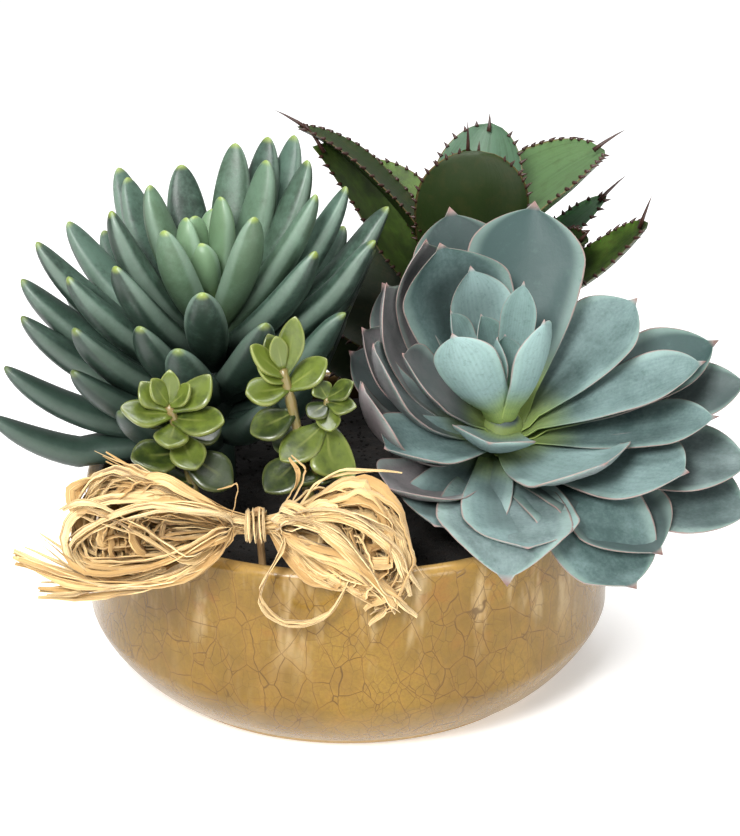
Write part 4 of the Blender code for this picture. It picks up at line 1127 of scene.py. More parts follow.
class Tree(Nodes):
    """A Geometry Nodes tree with named inputs."""

    def __init__(self, name: str, sizes: dict[str, float]) -> None:
        """Starts a tree that takes a geometry and its named sizes."""
        super().__init__(bpy.data.node_groups.new(name, "GeometryNodeTree"))
        face = self.tree.interface
        face.new_socket("Geometry", in_out="INPUT", socket_type="NodeSocketGeometry")
        for label, value in sizes.items():
            kind = "NodeSocketInt" if isinstance(value, int) else "NodeSocketFloat"
            face.new_socket(label, in_out="INPUT", socket_type=kind).default_value = value
        face.new_socket("Geometry", in_out="OUTPUT", socket_type="NodeSocketGeometry")
        self.given = self.new("NodeGroupInput", {}).outputs

    def grow(self, kind: str, inputs: dict[Any, Any], **settings: Any) -> bpy.types.Node:
        """Adds one of the geometry nodes, by its type without the prefix."""
        return self.new("GeometryNode" + kind, inputs, **settings)

    def random(self, low: Any, high: Any, seed: Any) -> Pin:
        """A random number, or a random vector, from low to high for each element."""
        first, kind = (0, "FLOAT_VECTOR") if isinstance(low, tuple) else (2, "FLOAT")
        inputs = {first: low, first + 1: high, "Seed": seed}
        return self.new("FunctionNodeRandomValue", inputs, data_type=kind).outputs[first // 2]

    def store(self, geometry: Pin, label: str, value: Pin, domain: str = "POINT", kind: str = "FLOAT") -> Pin:
        """Keeps a value as a named attribute, and returns the geometry."""
        inputs = {"Geometry": geometry, "Name": label, "Value": value}
        return self.grow("StoreNamedAttribute", inputs, data_type=kind, domain=domain).outputs[0]

    def close(self, geometry: Pin, material: Material) -> bpy.types.NodeTree:
        """Realizes the instances, sets the material and ends the tree."""
        real = self.grow("RealizeInstances", {"Geometry": geometry}).outputs[0]
        dressed = self.grow("SetMaterial", {"Geometry": real, "Material": material}).outputs[0]
        self.new("NodeGroupOutput", {0: dressed})
        return self.tree


def bake_tree(piece: Item, tree: bpy.types.NodeTree, sizes: dict[str, float]) -> Item:
    """Runs a node tree on a piece and keeps the result as a plain mesh.

    Args:
        piece: The object whose mesh or curve feeds the tree. It goes, and its modifier with it.
        tree: The tree.
        sizes: The values of its named inputs.

    Returns:
        The object of the same name that holds the mesh.
    """
    modifier = piece.modifiers.new("nodes", "NODES")
    modifier.node_group = tree
    for item in tree.interface.items_tree:
        if item.in_out == "INPUT" and item.name in sizes:
            modifier[item.identifier] = sizes[item.name]
    graph = bpy.context.evaluated_depsgraph_get()
    data = bpy.data.meshes.new_from_object(piece.evaluated_get(graph), depsgraph=graph)
    name = data.name = piece.name
    piece.modifiers.clear()
    bpy.data.objects.remove(piece)
    return link(name, data)


def settle(piece: Item, slot: str, *nodes: str) -> Item:
    """Rides a piece on the part's one body, hides the nodes it stands for, and returns it."""
    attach(piece, ROOT)
    if nodes:
        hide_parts(*nodes)
    LOG.info("%s: %d faces", piece.name, len(piece.data.polygons))
    return piece


def stem_body(maker: MeshMaker, points: Sequence[Vector], radii: Sequence[float]) -> None:
    """Adds a round stem through its points, from its foot up, with its radius at each."""
    mark = {"along": 0.1, "across": 0.0, "upper": 0.5, "age": 1.0, "blush": 0.0, "draw": 0.5, "stem": 1.0}
    ways = [(b - a).normalized() for a, b in zip([points[0], *points], [*points[1:], points[-1]])]
    rings = [(point, way, radius, mark) for point, way, radius in zip(points, ways, radii)]
    maker.add_tube(rings, (0.31, 0.87, 0.38), 14, points[-1] + ways[-1] * radii[-1] * 0.4)


@dataclass
class Rosette:
    """A plant whose leaves grow from one crown on a short stem: places in millimetres, lean in degrees."""

    middle: Place
    foot: Place
    lean: tuple[float, float]
    depth: float
    limits: tuple[Push, ...]

    def crown(self) -> Crown:
        """The crown that the leaves grow from."""
        return Crown(Vector(self.middle), heading(*self.lean), self.depth)

    def add_stem(self, maker: MeshMaker, below: float, above: float, radii: Sequence[float]) -> None:
        """Adds the stem, from the foot, past a place below the crown's middle, to one above it."""
        crown, foot = self.crown(), Vector(self.foot)
        turns = [crown.middle - crown.axis * below, crown.middle + crown.axis * above]
        stem_body(maker, [foot, foot.lerp(crown.middle, 0.6), *turns], radii)


FINGER_TIPS: tuple[tuple[float, float, float, float], ...] = (
    # Heart: the tip's x, y and z, and the seat from low (0) to high (1)
    (-48, -8, 151, 0.96), (-53, -5, 159, 0.92), (-51, 3, 157, 0.94), (-42, 2, 164, 0.9), (-45, 8, 158, 0.93),
    # Upright round the heart
    (-59, -22, 160, 0.76), (-30, -20, 164, 0.76), (-66, 6, 167, 0.76), (-27, 16, 173, 0.74), (-38, 26, 176, 0.68),
    (-10, -8, 168, 0.7), (-46, -40, 145, 0.58), (-78, -6, 162, 0.62), (-75, 20, 166, 0.6), (-57, 28, 168, 0.6),
    # Right, from the top down
    (-27, 32, 177, 0.56), (-18, 34, 177, 0.5), (-13, 12, 174, 0.66), (0, 5, 167, 0.58), (-10, -22, 153, 0.6),
    (15, 15, 157, 0.5), (11, -12, 153, 0.5), (2, -25, 132, 0.36), (8, 4, 142, 0.4),
    # Left, from the top down
    (-79, 32, 166, 0.5), (-95, 14, 152, 0.5), (-85, 30, 144, 0.4), (-104, -2, 150, 0.46), (-75, -28, 150, 0.56),
    (-92, -18, 143, 0.46), (-110, -2, 137, 0.36), (-109, -14, 128, 0.26), (-89, -34, 131, 0.32),
    (-116, -16, 111, 0.12), (-122, -20, 95, 0.0), (-90, -36, 117, 0.2),
    # Front, low
    (-67, -38, 133, 0.38), (-54, -46, 128, 0.36), (-26, -38, 134, 0.38), (-74, -42, 105, 0.1), (-52, -44, 104, 0.1),
    (-24, -40, 108, 0.14), (-4, -33, 112, 0.18),
    # Right, behind the echeveria's edge
    (13, 14, 141, 0.3), (7, 2, 124, 0.16), (-2, -14, 117, 0.2), (2, 26, 112, 0.08),
)


@dataclass
class BlueRosette(Rosette):
    """The blue-chalk plant: finger leaves up a short stem, their tips turned up."""

    middle: Place = (-46.0, 2.0, 103.0)
    foot: Place = (-45.0, 4.0, 38.0)
    lean: tuple[float, float] = (-100.0, 87.0)
    depth: float = 56.0
    limits: tuple[Push, ...] = (BLUE_OFF_ECHEVERIA, BLUE_OFF_AGAVE, BLUE_OFF_JADE, BLUE_OFF_BOW, over_rim)
    back_fingers: int = 12

    def leaves(self) -> list[tuple[Leaf, float]]:
        """The fingers, each with its random number: the placed ones, then the back ones by their rule."""
        draw = random.Random(11)
        tips = list(FINGER_TIPS)
        for i in range(self.back_fingers):
            share = (i + 0.5) / self.back_fingers
            azimuth = 18 + 144 * ((0.382 * i + 0.3) % 1.0)
            tip = Vector(self.middle) + heading(azimuth, 48 - 34 * share) * (64 + draw.uniform(-4, 4))
            tips.append((*tip, 0.5 - 0.4 * share))
        grown = []
        for x, y, z, seat in tips:
            width = 11.0 + 3.4 * min(1.0, 2.5 * (1 - seat)) + draw.uniform(-0.5, 0.5)
            curl = 14 + 32 * (1 - seat) + draw.uniform(-4, 4)
            grown.append((Leaf((x, y, z), seat, width, curl), draw.random()))
        return grown

    def make(self) -> list[Item]:
        """Builds and dresses the rosette."""
        crown, maker = self.crown(), MeshMaker()
        for leaf, draw in self.leaves():
            grow_leaf(maker, leaf, crown, FINGER, self.limits, draw)
        self.add_stem(maker, 17.0, 26.0, (6.0, 6.5, 9.0, 6.0))
        return [settle(maker.build("blue_chalk_fingers", BlueChalkSkin().make()), "blue_leaf", "blue_chalk_rosette")]


ECHEVERIA_LEAVES: tuple[Leaf, ...] = (
    # Bud
    Leaf((44, -18, 129), 1.0, 15.0, 24.0, cup=1.5),
    Leaf((49, -26, 124), 1.0, 14.0, 24.0, cup=1.5),
    Leaf((52, -18, 122), 1.0, 12.0, 20.0, cup=1.5),
    # Leaves round the bud
    Leaf((34, -36, 129), 0.85, 22.0, 46.0, cup=0.8, roll=60.0, tone=0.9),
    Leaf((64, -34, 133), 0.85, 22.0, 40.0, cup=1.2, tone=1.0),
    Leaf((34, -17, 130), 0.8, 15.0, 34.0, cup=1.4, tone=0.7),
    Leaf((58, -15, 139), 0.8, 12.0, 20.0, cup=1.4, tone=0.6),
    Leaf((41, -2, 140), 0.7, 24.0, 30.0, cup=1.5, tone=0.9, pit=0.5),
    # Tall back leaves
    Leaf((63, 18, 155), 0.5, 40.0, 8.0, cup=0.8, tone=0.0),
    Leaf((30, 1, 150), 0.55, 38.0, 66.0, cup=1.5, roll=-30.0, tone=0.5, pit=1.0),
    Leaf((35, 25, 151), 0.35, 38.0, 20.0, 0.1, tone=0.2, pit=0.5),
    Leaf((22, 4, 156), 0.3, 30.0, 100.0, 0.75, tone=0.2),
    Leaf((9, -10, 141), 0.2, 30.0, 84.0, 0.6, tone=0.3),
    Leaf((3, -9, 122), 0.05, 32.0, 60.0, 0.7, tone=0.1),
    # Right, from the top down
    Leaf((97, 5, 126), 0.55, 31.0, 22.0, tone=0.7, pit=0.2),
    Leaf((124, 2, 112), 0.4, 34.0, 20.0, tone=0.2),
    Leaf((117, -20, 113), 0.5, 26.0, 18.0, tone=0.7),
    Leaf((134, -6, 101), 0.25, 32.0, 16.0, 0.15, tone=0.1),
    Leaf((121, -28, 97), 0.35, 26.0, 18.0, cup=0.6, tone=0.5),
    Leaf((133, -29, 81), 0.15, 38.0, 14.0, 0.15, 0.5, tone=0.5),
    Leaf((110, -49, 86), 0.4, 40.0, 34.0, cup=0.4, tone=0.6),
    Leaf((131, -42, 68), 0.05, 42.0, 8.0, 0.1, 0.5, tone=0.5),
    # Front, from the right to the left
    Leaf((84, -56, 92), 0.4, 42.0, 55.0, cup=0.3, tone=0.8),
    Leaf((100, -64, 65), 0.1, 40.0, 10.0, 0.1, tone=0.1),
    Leaf((91, -77, 59), 0.15, 40.0, 24.0, cup=0.5, tone=0.5),
    Leaf((46, -48, 96), 0.6, 28.0, 50.0, 0.1, 1.2, tone=0.9),
    Leaf((57, -83, 75), 0.3, 38.0, 34.0, cup=0.5, tone=0.9, pit=0.6),
    Leaf((50, -88, 61), 0.0, 44.0, 34.0, 0.1, 0.5, tone=0.5),
    Leaf((28, -73, 78), 0.35, 35.0, 36.0, 0.05, 0.6, tone=0.9, pit=0.7),
    # Left, from the bottom up
    Leaf((13, -65, 87), 0.1, 30.0, 50.0, 0.8, tone=0.2),
    Leaf((13, -50, 95), 0.45, 32.0, 20.0, tone=0.6),
    Leaf((-2, -45, 117), 0.15, 30.0, 104.0, 0.9, tone=0.2),
    Leaf((5, -36, 127), 0.4, 30.0, 80.0, 0.3, tone=0.5),
    Leaf((18, -25, 118), 0.5, 28.0, 40.0, 0.4, tone=0.0),
    # Behind
    Leaf((88, 27, 114), 0.25, 36.0, 16.0),
    Leaf((112, 18, 100), 0.15, 38.0, 14.0),
    Leaf((70, 30, 100), 0.05, 38.0, 14.0),
    Leaf((20, 20, 116), 0.15, 36.0, 30.0, 0.4),
    Leaf((12, 18, 127), 0.1, 38.0, 30.0, 0.3, tone=-0.2),
    Leaf((0, 4, 108), 0.0, 34.0, 40.0, 0.3, tone=-0.2),
)


@dataclass
class Echeveria(Rosette):
    """The echeveria: broad hollow leaves round a bud."""

    middle: Place = (52.0, -15.0, 88.0)
    foot: Place = (46.0, -8.0, 38.0)
    lean: tuple[float, float] = (-75.0, 74.0)
    depth: float = 14.0
    limits: tuple[Push, ...] = (
        BLUE_OFF_ECHEVERIA.opposite(), ECHEVERIA_OFF_AGAVE, ECHEVERIA_OFF_JADE, ECHEVERIA_OFF_BOW, over_rim)

    def make(self) -> list[Item]:
        """Builds and dresses the rosette."""
        draw = random.Random(7)
        crown, maker = self.crown(), MeshMaker()
        for leaf in ECHEVERIA_LEAVES:
            grow_leaf(maker, leaf, crown, SPOON, self.limits, leaf.tone + draw.uniform(-0.1, 0.1))
        self.add_stem(maker, 12.0, 6.0, (7.0, 7.0, 10.0, 6.0))
        return [settle(maker.build("echeveria_leaves", EcheveriaSkin().make()), "echeveria_leaf", "echeveria")]


AGAVE_LEAVES: tuple[Leaf, ...] = (
    # Heart, the broad leaf in front of it and the pale one behind
    Leaf((42, 50, 167), 0.9, 15.0, 6.0, tone=0.3),
    Leaf((45, 36, 170), 0.6, 40.0, 10.0, cup=0.5, roll=-50.0, tone=0.0, spike=0.4),
    Leaf((51, 76, 169), 0.6, 34.0, 4.0, tone=1.0, spike=0.4),
    # Right, from the top down
    Leaf((92, 66, 163), 0.5, 57.0, -40.0, cup=0.8, roll=-14.0, tone=0.8),
    Leaf((93, 72, 143), 0.3, 15.0, 6.0, tone=1.1),
    Leaf((84, 37, 138), 0.15, 30.0, 20.0, tone=0.2, spike=0.4),
    Leaf((107, 46, 142), 0.2, 25.0, 44.0, tone=0.4, lift=1.4),
    # Left, from the top down
    Leaf((-20, 66, 172), 0.55, 26.0, -45.0, cup=0.6, roll=22.0, tone=0.1),
    Leaf((-14, 58, 165), 0.3, 30.0, 16.0, cup=0.6, tone=0.45),
    # Back, and low on the left
    Leaf((4, 92, 150), 0.3, 32.0, -10.0, tone=0.6),
    Leaf((66, 106, 142), 0.1, 32.0, -10.0, tone=0.7),
    Leaf((-14, 62, 114), 0.1, 38.0, 10.0, cup=0.6, roll=-50.0, tone=-0.4),
    Leaf((-15, 64, 92), 0.0, 40.0, 10.0, cup=0.6, roll=-50.0, tone=-0.4),
    Leaf((18, 112, 134), 0.05, 32.0, -12.0, tone=0.4),
)


@dataclass
class Agave(Rosette):
    """The agave: guttered leaves with hooked teeth and long end spines, in millimetres."""

    middle: Place = (40.0, 53.0, 108.0)
    foot: Place = (37.0, 50.0, 38.0)
    lean: tuple[float, float] = (-100.0, 80.0)
    depth: float = 24.5
    limits: tuple[Push, ...] = (BLUE_OFF_AGAVE.opposite(), ECHEVERIA_OFF_AGAVE.opposite(), over_rim)
    tooth_gap: float = 3.9
    tooth: float = 3.2
    tooth_radius: float = 0.8
    first_tooth: int = 14
    spine: float = 12.0
    spine_radius: float = 0.9

    def thorns(self, edges: list[Edge], maker: MeshMaker, draw: random.Random, leaf: Leaf) -> None:
        """Adds the teeth along one leaf's margins and its end spine."""
        for sign in (-1.0, 1.0):
            margin = [edge.left if sign < 0 else edge.right for edge in edges]
            due = self.tooth_gap
            for i in range(self.first_tooth, len(edges) - 1):
                run = margin[i + 1] - margin[i]
                forward, out = run.normalized(), edges[i].side * sign
                out = (out - forward * out.dot(forward)).normalized()
                while due < run.length:
                    lean = (out + forward * draw.uniform(0.2, 0.7)).normalized()
                    size = self.tooth * draw.uniform(0.7, 1.15)
                    self.thorn(maker, margin[i] + forward * due - out * 0.7, lean, size, self.tooth_radius)
                    due += self.tooth_gap * draw.uniform(0.75, 1.25)
                due -= run.length
        last = edges[-1]
        way = (last.forward + Vector((0.0, 0.0, leaf.lift))).normalized()
        root = (last.left + last.right) / 2 - last.forward * 2.0
        self.thorn(maker, root, way, self.spine * leaf.spike + 2.0, self.spine_radius)

    def thorn(self, maker: MeshMaker, root: Vector, way: Vector, length: float, radius: float) -> None:
        """Adds one curved thorn."""
        guide = (0.2, 0.3, 0.93)
        bend = square_to(way, guide)[1] * length * 0.10
        rings = [(root + way * length * t + bend * t * t, way, radius * wide, {"along": t})
                 for t, wide in ((0.0, 1.0), (0.35, 0.72), (0.7, 0.38))]
        maker.add_tube(rings, guide, 7, root + way * length + bend)

    def make(self) -> list[Item]:
        """Builds and dresses the leaves and their thorns."""
        draw = random.Random(3)
        crown, maker, spikes = self.crown(), MeshMaker(), MeshMaker()
        for leaf in AGAVE_LEAVES:
            self.thorns(grow_leaf(maker, leaf, crown, BLADE, self.limits, leaf.tone), spikes, draw, leaf)
        self.add_stem(maker, 14.0, 10.0, (8.0, 8.0, 10.0, 7.0))
        return [settle(maker.build("agave_leaves", AgaveSkin().make()), "agave_leaf", "agave"),
                settle(spikes.build("agave_thorns", Thorn().make()), "agave_leaf")]


def curve_points(controls: Sequence[Place], count: int) -> list[Vector]:
    """Points along the curve with these control points.

    Args:
        controls: Two or more control points.
        count: How many points to give.

    Returns:
        The points, from the first control to the last.
    """
    points = []
    for i in range(count):
        t = i / (count - 1)
        stage = [Vector(control) for control in controls]
        while len(stage) > 1:
            stage = [a.lerp(b, t) for a, b in zip(stage, stage[1:])]
        points.append(stage[0])
    return points


def plump(tip: Place, seat: float, width: float, curl: float = 24.0, tone: float = 0.6) -> Leaf:
    """A jade leaf: its tip in millimetres, its seat along the stem from 0 to 1, its width, curl and tone."""
    return Leaf(tip, seat, width, curl, tone=tone)


@dataclass(frozen=True)
class Shoot:
    """One leafy stem: its control points, its leaves, and its radius at the foot and at the top."""

    path: tuple[Place, ...]
    leaves: tuple[Leaf, ...]
    radii: tuple[float, float]


@dataclass
class JadeSprig:
    """A jade-like sprig: plump leaves up a fleshy stem, gathered in a head at its top."""

    name: str
    node: str
    shoots: tuple[Shoot, ...]
    limits: tuple[Push, ...]
    seed: int
    seats: int = 40
    joints: int = 24

    def make(self, skin: Material) -> list[Item]:
        """Builds and dresses the sprig."""
        draw = random.Random(self.seed)
        maker = MeshMaker()
        for shoot in self.shoots:
            seats = curve_points(shoot.path, self.seats + 1)
            for leaf in shoot.leaves:
                crown = Crown(seats[round(leaf.seat * self.seats)], heading(-90, 60), 0.0)
                grow_leaf(maker, leaf, crown, PLUMP, self.limits, leaf.tone + draw.uniform(-0.15, 0.15))
        for shoot in self.shoots:
            low, high = shoot.radii
            radii = [low + (high - low) * i / (self.joints - 1) + (0.25 if i % 4 == 0 else 0.0)
                     for i in range(self.joints)]
            stem_body(maker, curve_points(shoot.path, self.joints), radii)
        return [settle(maker.build(self.name, skin), "jade_leaf", self.node)]


JADE_LEFT = JadeSprig(
    "jade_sprig_left_leaves",
    "jade_sprig_left",
    (Shoot(
        ((-43.0, -55.0, 38.0), (-47.0, -58.0, 85.0), (-56.0, -60.0, 116.0)),
        (
            plump((-66, -55, 125), 0.97, 10.5), plump((-43, -55, 125), 0.97, 11.5, tone=0.6),
            plump((-71, -64, 117), 0.95, 11.0, tone=0.55), plump((-38, -66, 113), 0.93, 12.5, tone=0.45),
            plump((-56, -70, 106), 0.9, 11.5, 40.0), plump((-56, -57, 128), 1.0, 7.0, tone=0.7),
            plump((-61, -62, 126), 1.0, 7.5, tone=0.9), plump((-49, -62, 124), 0.99, 7.5, 40.0, 0.8),
            plump((-47, -70, 98), 0.84, 12.0, 40.0), plump((-68, -67, 101), 0.76, 14.5, tone=0.3),
            plump((-34, -64, 90), 0.74, 15.0, 30.0, 0.0), plump((-56, -50, 122), 0.92, 10.0),
            plump((-61, -64, 92), 0.6, 13.0, tone=0.1), plump((-64, -50, 114), 0.88, 10.0, tone=0.3),
            plump((-40, -52, 106), 0.84, 11.0, tone=0.1),
        ),
        (1.9, 1.5),
    ),),
    (BLUE_OFF_JADE.opposite(), JADE_OFF_BOW, JADES_APART, over_soil),
    5,
)
JADE_RIGHT = JadeSprig(
    "jade_sprig_right_leaves",
    "jade_sprig_right",
    (Shoot(
        ((-9.0, -52.0, 38.0), (-10.0, -57.0, 85.0), (-20.0, -57.0, 127.0)),
        (
            plump((-16, -54, 144), 0.98, 9.0, tone=0.8), plump((-30, -62, 137), 0.98, 9.0, tone=0.9),
            plump((-6, -55, 130), 0.93, 11.0, tone=0.8), plump((-33, -62, 121), 0.92, 12.0, tone=0.7),
            plump((-22, -59, 139), 1.0, 6.5, tone=1.0), plump((-25, -52, 138), 0.97, 8.0),
            plump((-28, -60, 130), 0.96, 7.0, 40.0, 0.9), plump((-31, -61, 107), 0.82, 13.0, tone=0.4),
            plump((-26, -64, 88), 0.64, 14.0, tone=0.2), plump((-15, -62, 90), 0.6, 12.0, 40.0, 0.3),
            plump((-24, -54, 102), 0.72, 12.0, tone=0.0), plump((-2, -52, 100), 0.66, 12.0, tone=0.0),
        ),
        (1.9, 1.5),
    ), Shoot(
        ((-11.0, -56.0, 88.0), (-7.0, -59.0, 106.0), (-6.0, -59.0, 118.0)),
        (
            plump((4, -59, 124), 1.0, 8.0, tone=0.6), plump((4, -63, 117), 0.95, 8.0, tone=0.4),
            plump((-9, -57, 123), 1.0, 7.5, tone=0.7), plump((-12, -64, 114), 0.92, 8.0, tone=0.3),
            plump((-21, -67, 100), 0.66, 13.0, 36.0, 0.8), plump((-5, -67, 110), 0.9, 8.0, 36.0, 0.7),
            plump((3, -67, 94), 0.62, 15.0, 36.0, 0.8), plump((-1, -56, 114), 0.85, 8.0, tone=0.2),
            plump((2, -56, 105), 0.5, 10.0, tone=0.1), plump((0, -59, 92), 0.2, 11.0, 30.0, 0.2),
        ),
        (1.4, 1.1),
    )),
    (BLUE_OFF_JADE.opposite(), ECHEVERIA_OFF_JADE.opposite(), JADE_OFF_BOW, JADES_APART.opposite(), over_soil),
    8,
)


@dataclass
class Strand:
    """One raffia strand: its points, half width in millimetres, and its twist at each point."""

    points: list[Vector]
    width: float
    twist: list[float]


@dataclass(frozen=True)
class BowLoop:
    """One side of the bow: which side, its reach, rise, drop and depth, its slope, and how many strands."""

    side: int
    reach: float
    rise: float
    drop: float
    forward: float
    slope: float
    strands: int


@dataclass(frozen=True)
class Sheaf:
    """Loose strands that run together: places from the waist, how many, how far apart, how wide."""

    ends: tuple[Place, ...]
    count: int
    spread: float
    width: float = 1.0


SHEAVES: tuple[Sheaf, ...] = (
    # The tails, forward of the left loop
    Sheaf(((-12, -6, -6), (-28, -11, -13), (-50, -11, -11), (-67, -6, 0)), 4, 2.0, 1.2),
    Sheaf(((-12, -6, -7), (-28, -11, -14), (-52, -11, -14), (-74, -6, -8)), 9, 2.4, 1.7),
    Sheaf(((-12, -6, -7), (-30, -11, -15), (-52, -11, -17), (-68, -8, -19)), 6, 2.2, 1.5),
    # The thin curl that hangs under the right loop
    Sheaf(((9, -8, -4), (1, -12, -19), (9, -13, -27), (22, -13, -24), (30, -11, -10)), 2, 0.7, 0.9),
    # Strays that stand up
    Sheaf(((-16, -3, 4), (-30, -2, 14), (-47, 1, 23)), 4, 3.0, 0.7),
    Sheaf(((14, -3, 9), (24, -1, 18), (46, 1, 18)), 2, 1.6, 0.7),
    Sheaf(((10, -3, 8), (15, -1, 18), (12, 0, 24)), 2, 1.6, 1.0),
    Sheaf(((-8, -3, 4), (-5, -3, 14), (-12, -3, 13)), 1, 0.4, 0.5),
    # Ribbons that lie across the loops
    Sheaf(((-14, -10, 9), (-34, -13, 12), (-56, -11, 0), (-46, -11, -12), (-30, -11, -9)), 6, 4.0, 1.4),
    Sheaf(((-20, -12, -6), (-34, -13, 4), (-50, -12, 12), (-57, -6, 8)), 5, 3.5, 1.2),
    Sheaf(((-14, -10, 0), (-32, -13, -6), (-50, -11, -9), (-58, -8, -2)), 8, 4.0, 1.6),
    Sheaf(((12, -11, 10), (26, -14, 4), (40, -13, -14), (46, -9, -22)), 10, 4.5, 1.9),
    Sheaf(((14, -12, 0), (28, -14, -6), (42, -12, -20), (36, -9, -25)), 8, 4.0, 1.8),
    Sheaf(((10, -11, 6), (28, -14, 10), (44, -12, -2), (49, -8, -16)), 8, 4.0, 1.6),
)


def through(stops: Sequence[Vector], count: int) -> list[Vector]:
    """Points on the smooth curve that passes through its stops.

    Args:
        stops: The places that the curve passes through.
        count: How many points to give.

    Returns:
        The points, from the first stop to the last.
    """
    ends = [stops[0] * 2 - stops[1], *stops, stops[-1] * 2 - stops[-2]]
    spans = len(stops) - 1
    points = []
    for i in range(count):
        at = min(i / (count - 1) * spans, spans - 1e-6)
        k, t = int(at), at - int(at)
        a, b, c, d = ends[k:k + 4]
        bend = (a * -1 + b * 3 - c * 3 + d) * t ** 3 + (a * 2 - b * 5 + c * 4 - d) * t ** 2
        points.append((bend + (c - a) * t + b * 2) * 0.5)
    return points


@dataclass
class RaffiaBow:
    """The bow: strands gathered at one waist, tied with a wound strand and lashed to a pick."""

    loops: tuple[BowLoop, ...] = (
        BowLoop(-1, 55.0, 18.0, 13.0, 9.0, 0.0, 62),
        BowLoop(1, 46.0, 18.0, 14.0, 11.0, -0.15, 66),
    )
    limits: tuple[Push, ...] = (
        ECHEVERIA_OFF_BOW.opposite(), JADE_OFF_BOW.opposite(), BLUE_OFF_BOW.opposite(), outside_bowl)
    steps: int = 40
    seed: int = 21
    thickness: float = 0.22
    crumple: float = 0.55
    fold: float = 0.3
    widths: tuple[float, ...] = (0.5, 0.8, 1.2, 1.7, 2.2)
    crease: float = 28.0

    def sizes(self) -> dict[str, float]:
        """The named inputs of the ribbons' node tree."""
        return {"Thickness": self.thickness * MM, "Fold": self.fold, "Crumple": self.crumple * MM, "Seed": self.seed}

    def guarded(self, points: list[Vector]) -> list[Vector]:
        """The points of a strand where they clear the neighbours, but for those in the waist."""
        wide = Vector((0.0, 1.0, 0.0))
        return [p if (p - WAIST).length < WAIST_HALF + 4.0 else clear_of([p, p + wide, p - wide], self.limits)[0]
                for p in points]

    def twists(self, draw: random.Random, count: int) -> list[float]:
        """A strand's wandering twist, about facing forwards."""
        start, rate, swing = draw.gauss(0, 0.45), draw.gauss(0, 0.7), draw.uniform(0.1, 0.6)
        phase = draw.uniform(0, 6.3)
        return [start + rate * (i / count - 0.5) + swing * math.sin(phase + 9.0 * i / count) for i in range(count)]

    def crumpled(self, points: list[Vector], reach: float, draw: random.Random) -> list[Vector]:
        """The points with small kinks, none at the ends."""
        shift = draw.uniform(0, 90.0)
        last = len(points) - 1
        bent = []
        for i, p in enumerate(points):
            free = min(1.0, 5.0 * i / last, 5.0 * (last - i) / last)
            wide = noise.noise_vector(Vector((0.16 * i, shift, 0.0))) * reach
            fine = noise.noise_vector(Vector((0.55 * i, 0.0, shift))) * reach * 0.35
            bent.append(p + (wide + fine) * free)
        return bent

    def loop_strand(self, loop: BowLoop, draw: random.Random) -> Strand:
        """One strand out from the waist, round the loop and back."""
        share = 0.42 + 0.6 * draw.random() ** 0.6
        spin = draw.uniform(0, 2 * math.pi)
        hub = WAIST_RADIUS * 0.8 * math.sqrt(draw.random())
        inset = Vector((0.0, math.cos(spin), math.sin(spin))) * hub
        aside = Vector((loop.side * WAIST_HALF * 0.4, 0.0, 0.0))
        middle = WAIST + inset + aside
        forward = -loop.forward * draw.uniform(-0.2, 1.15)
        squeeze = draw.uniform(0.2, 1.05)
        tilt = loop.slope + draw.uniform(-0.4, 0.4) * (1.1 - squeeze)
        skew = draw.uniform(-0.35, 0.35)
        points = [middle]
        for step in range(1, self.steps):
            way = step / self.steps
            turn = math.pi * (way - 0.5)
            out = loop.reach * share * max(0.0, math.cos(turn)) ** 0.7
            high = loop.rise if turn < 0 else loop.drop
            lift = -high * squeeze * (0.45 + 0.55 * share) * math.sin(2 * turn)
            depth = forward * math.sin(math.pi * way) * (1 + skew * math.cos(math.pi * way))
            points.append(middle + Vector((loop.side * out, depth, lift + tilt * out)))
        points.append(WAIST - inset + aside)
        width = draw.choice(self.widths) * draw.uniform(0.85, 1.1)
        points = self.guarded(self.crumpled(points, 2.6, draw))
        return Strand(points, width, self.twists(draw, len(points)))

    def loose_strand(self, sheaf: Sheaf, draw: random.Random) -> Strand:
        """One loose strand of a sheaf."""
        side = 1 if sheaf.ends[-1][0] > 0 or sheaf.ends[0][0] > 0 else -1
        start = WAIST + Vector((side * WAIST_HALF * 0.4, draw.uniform(-1.5, 1.5), draw.uniform(-1.5, 1.5)))
        stops = [start, start + Vector((side * 5.0, 0.0, 0.0))]
        lean = Vector([draw.uniform(-1, 1) for _ in range(3)]) * sheaf.spread
        for k, end in enumerate(sheaf.ends):
            jitter = Vector([draw.uniform(-0.4, 0.4) for _ in range(3)]) * sheaf.spread
            stops.append(WAIST + Vector(end) + lean * (k + 1) / len(sheaf.ends) + jitter)
        points = self.guarded(self.crumpled(through(stops, 32), 1.6, draw))
        return Strand(points, sheaf.width * draw.uniform(0.6, 1.15), self.twists(draw, len(points)))

    def wound(self) -> list[Strand]:
        """The tie: one strand wound round the waist, and the lashing round the pick behind it."""
        strands = []
        for start, turns, radius, half, width in ((0.3, 5.2, 4.5, 3.0, 0.85), (2.1, 4.6, 4.9, 2.6, 0.75)):
            points = []
            for t in (i / 109 for i in range(110)):
                a = start + 2 * math.pi * turns * t
                r = radius + 0.14 * math.sin(3.0 * a + start)
                points.append(WAIST + Vector((-half * math.cos(math.pi * t), r * math.cos(a), r * math.sin(a))))
            strands.append(Strand(points, width, [0.0] * len(points)))
        way = (PICK_TOP - PICK_FOOT).normalized()
        behind = PICK_FOOT + way * ((WAIST.z - PICK_FOOT.z) / way.z)
        side, other = square_to(way, (1.0, 0.0, 0.0))
        points = []
        for i in range(56):
            a = 2 * math.pi * 3.0 * i / 55
            out = (side * math.cos(a) + other * math.sin(a)) * (PICK_RADIUS + 0.75)
            points.append(behind + out + way * (-2.0 + 4.0 * i / 56))
        return [*strands, Strand(points, 0.7, [0.0] * len(points))]

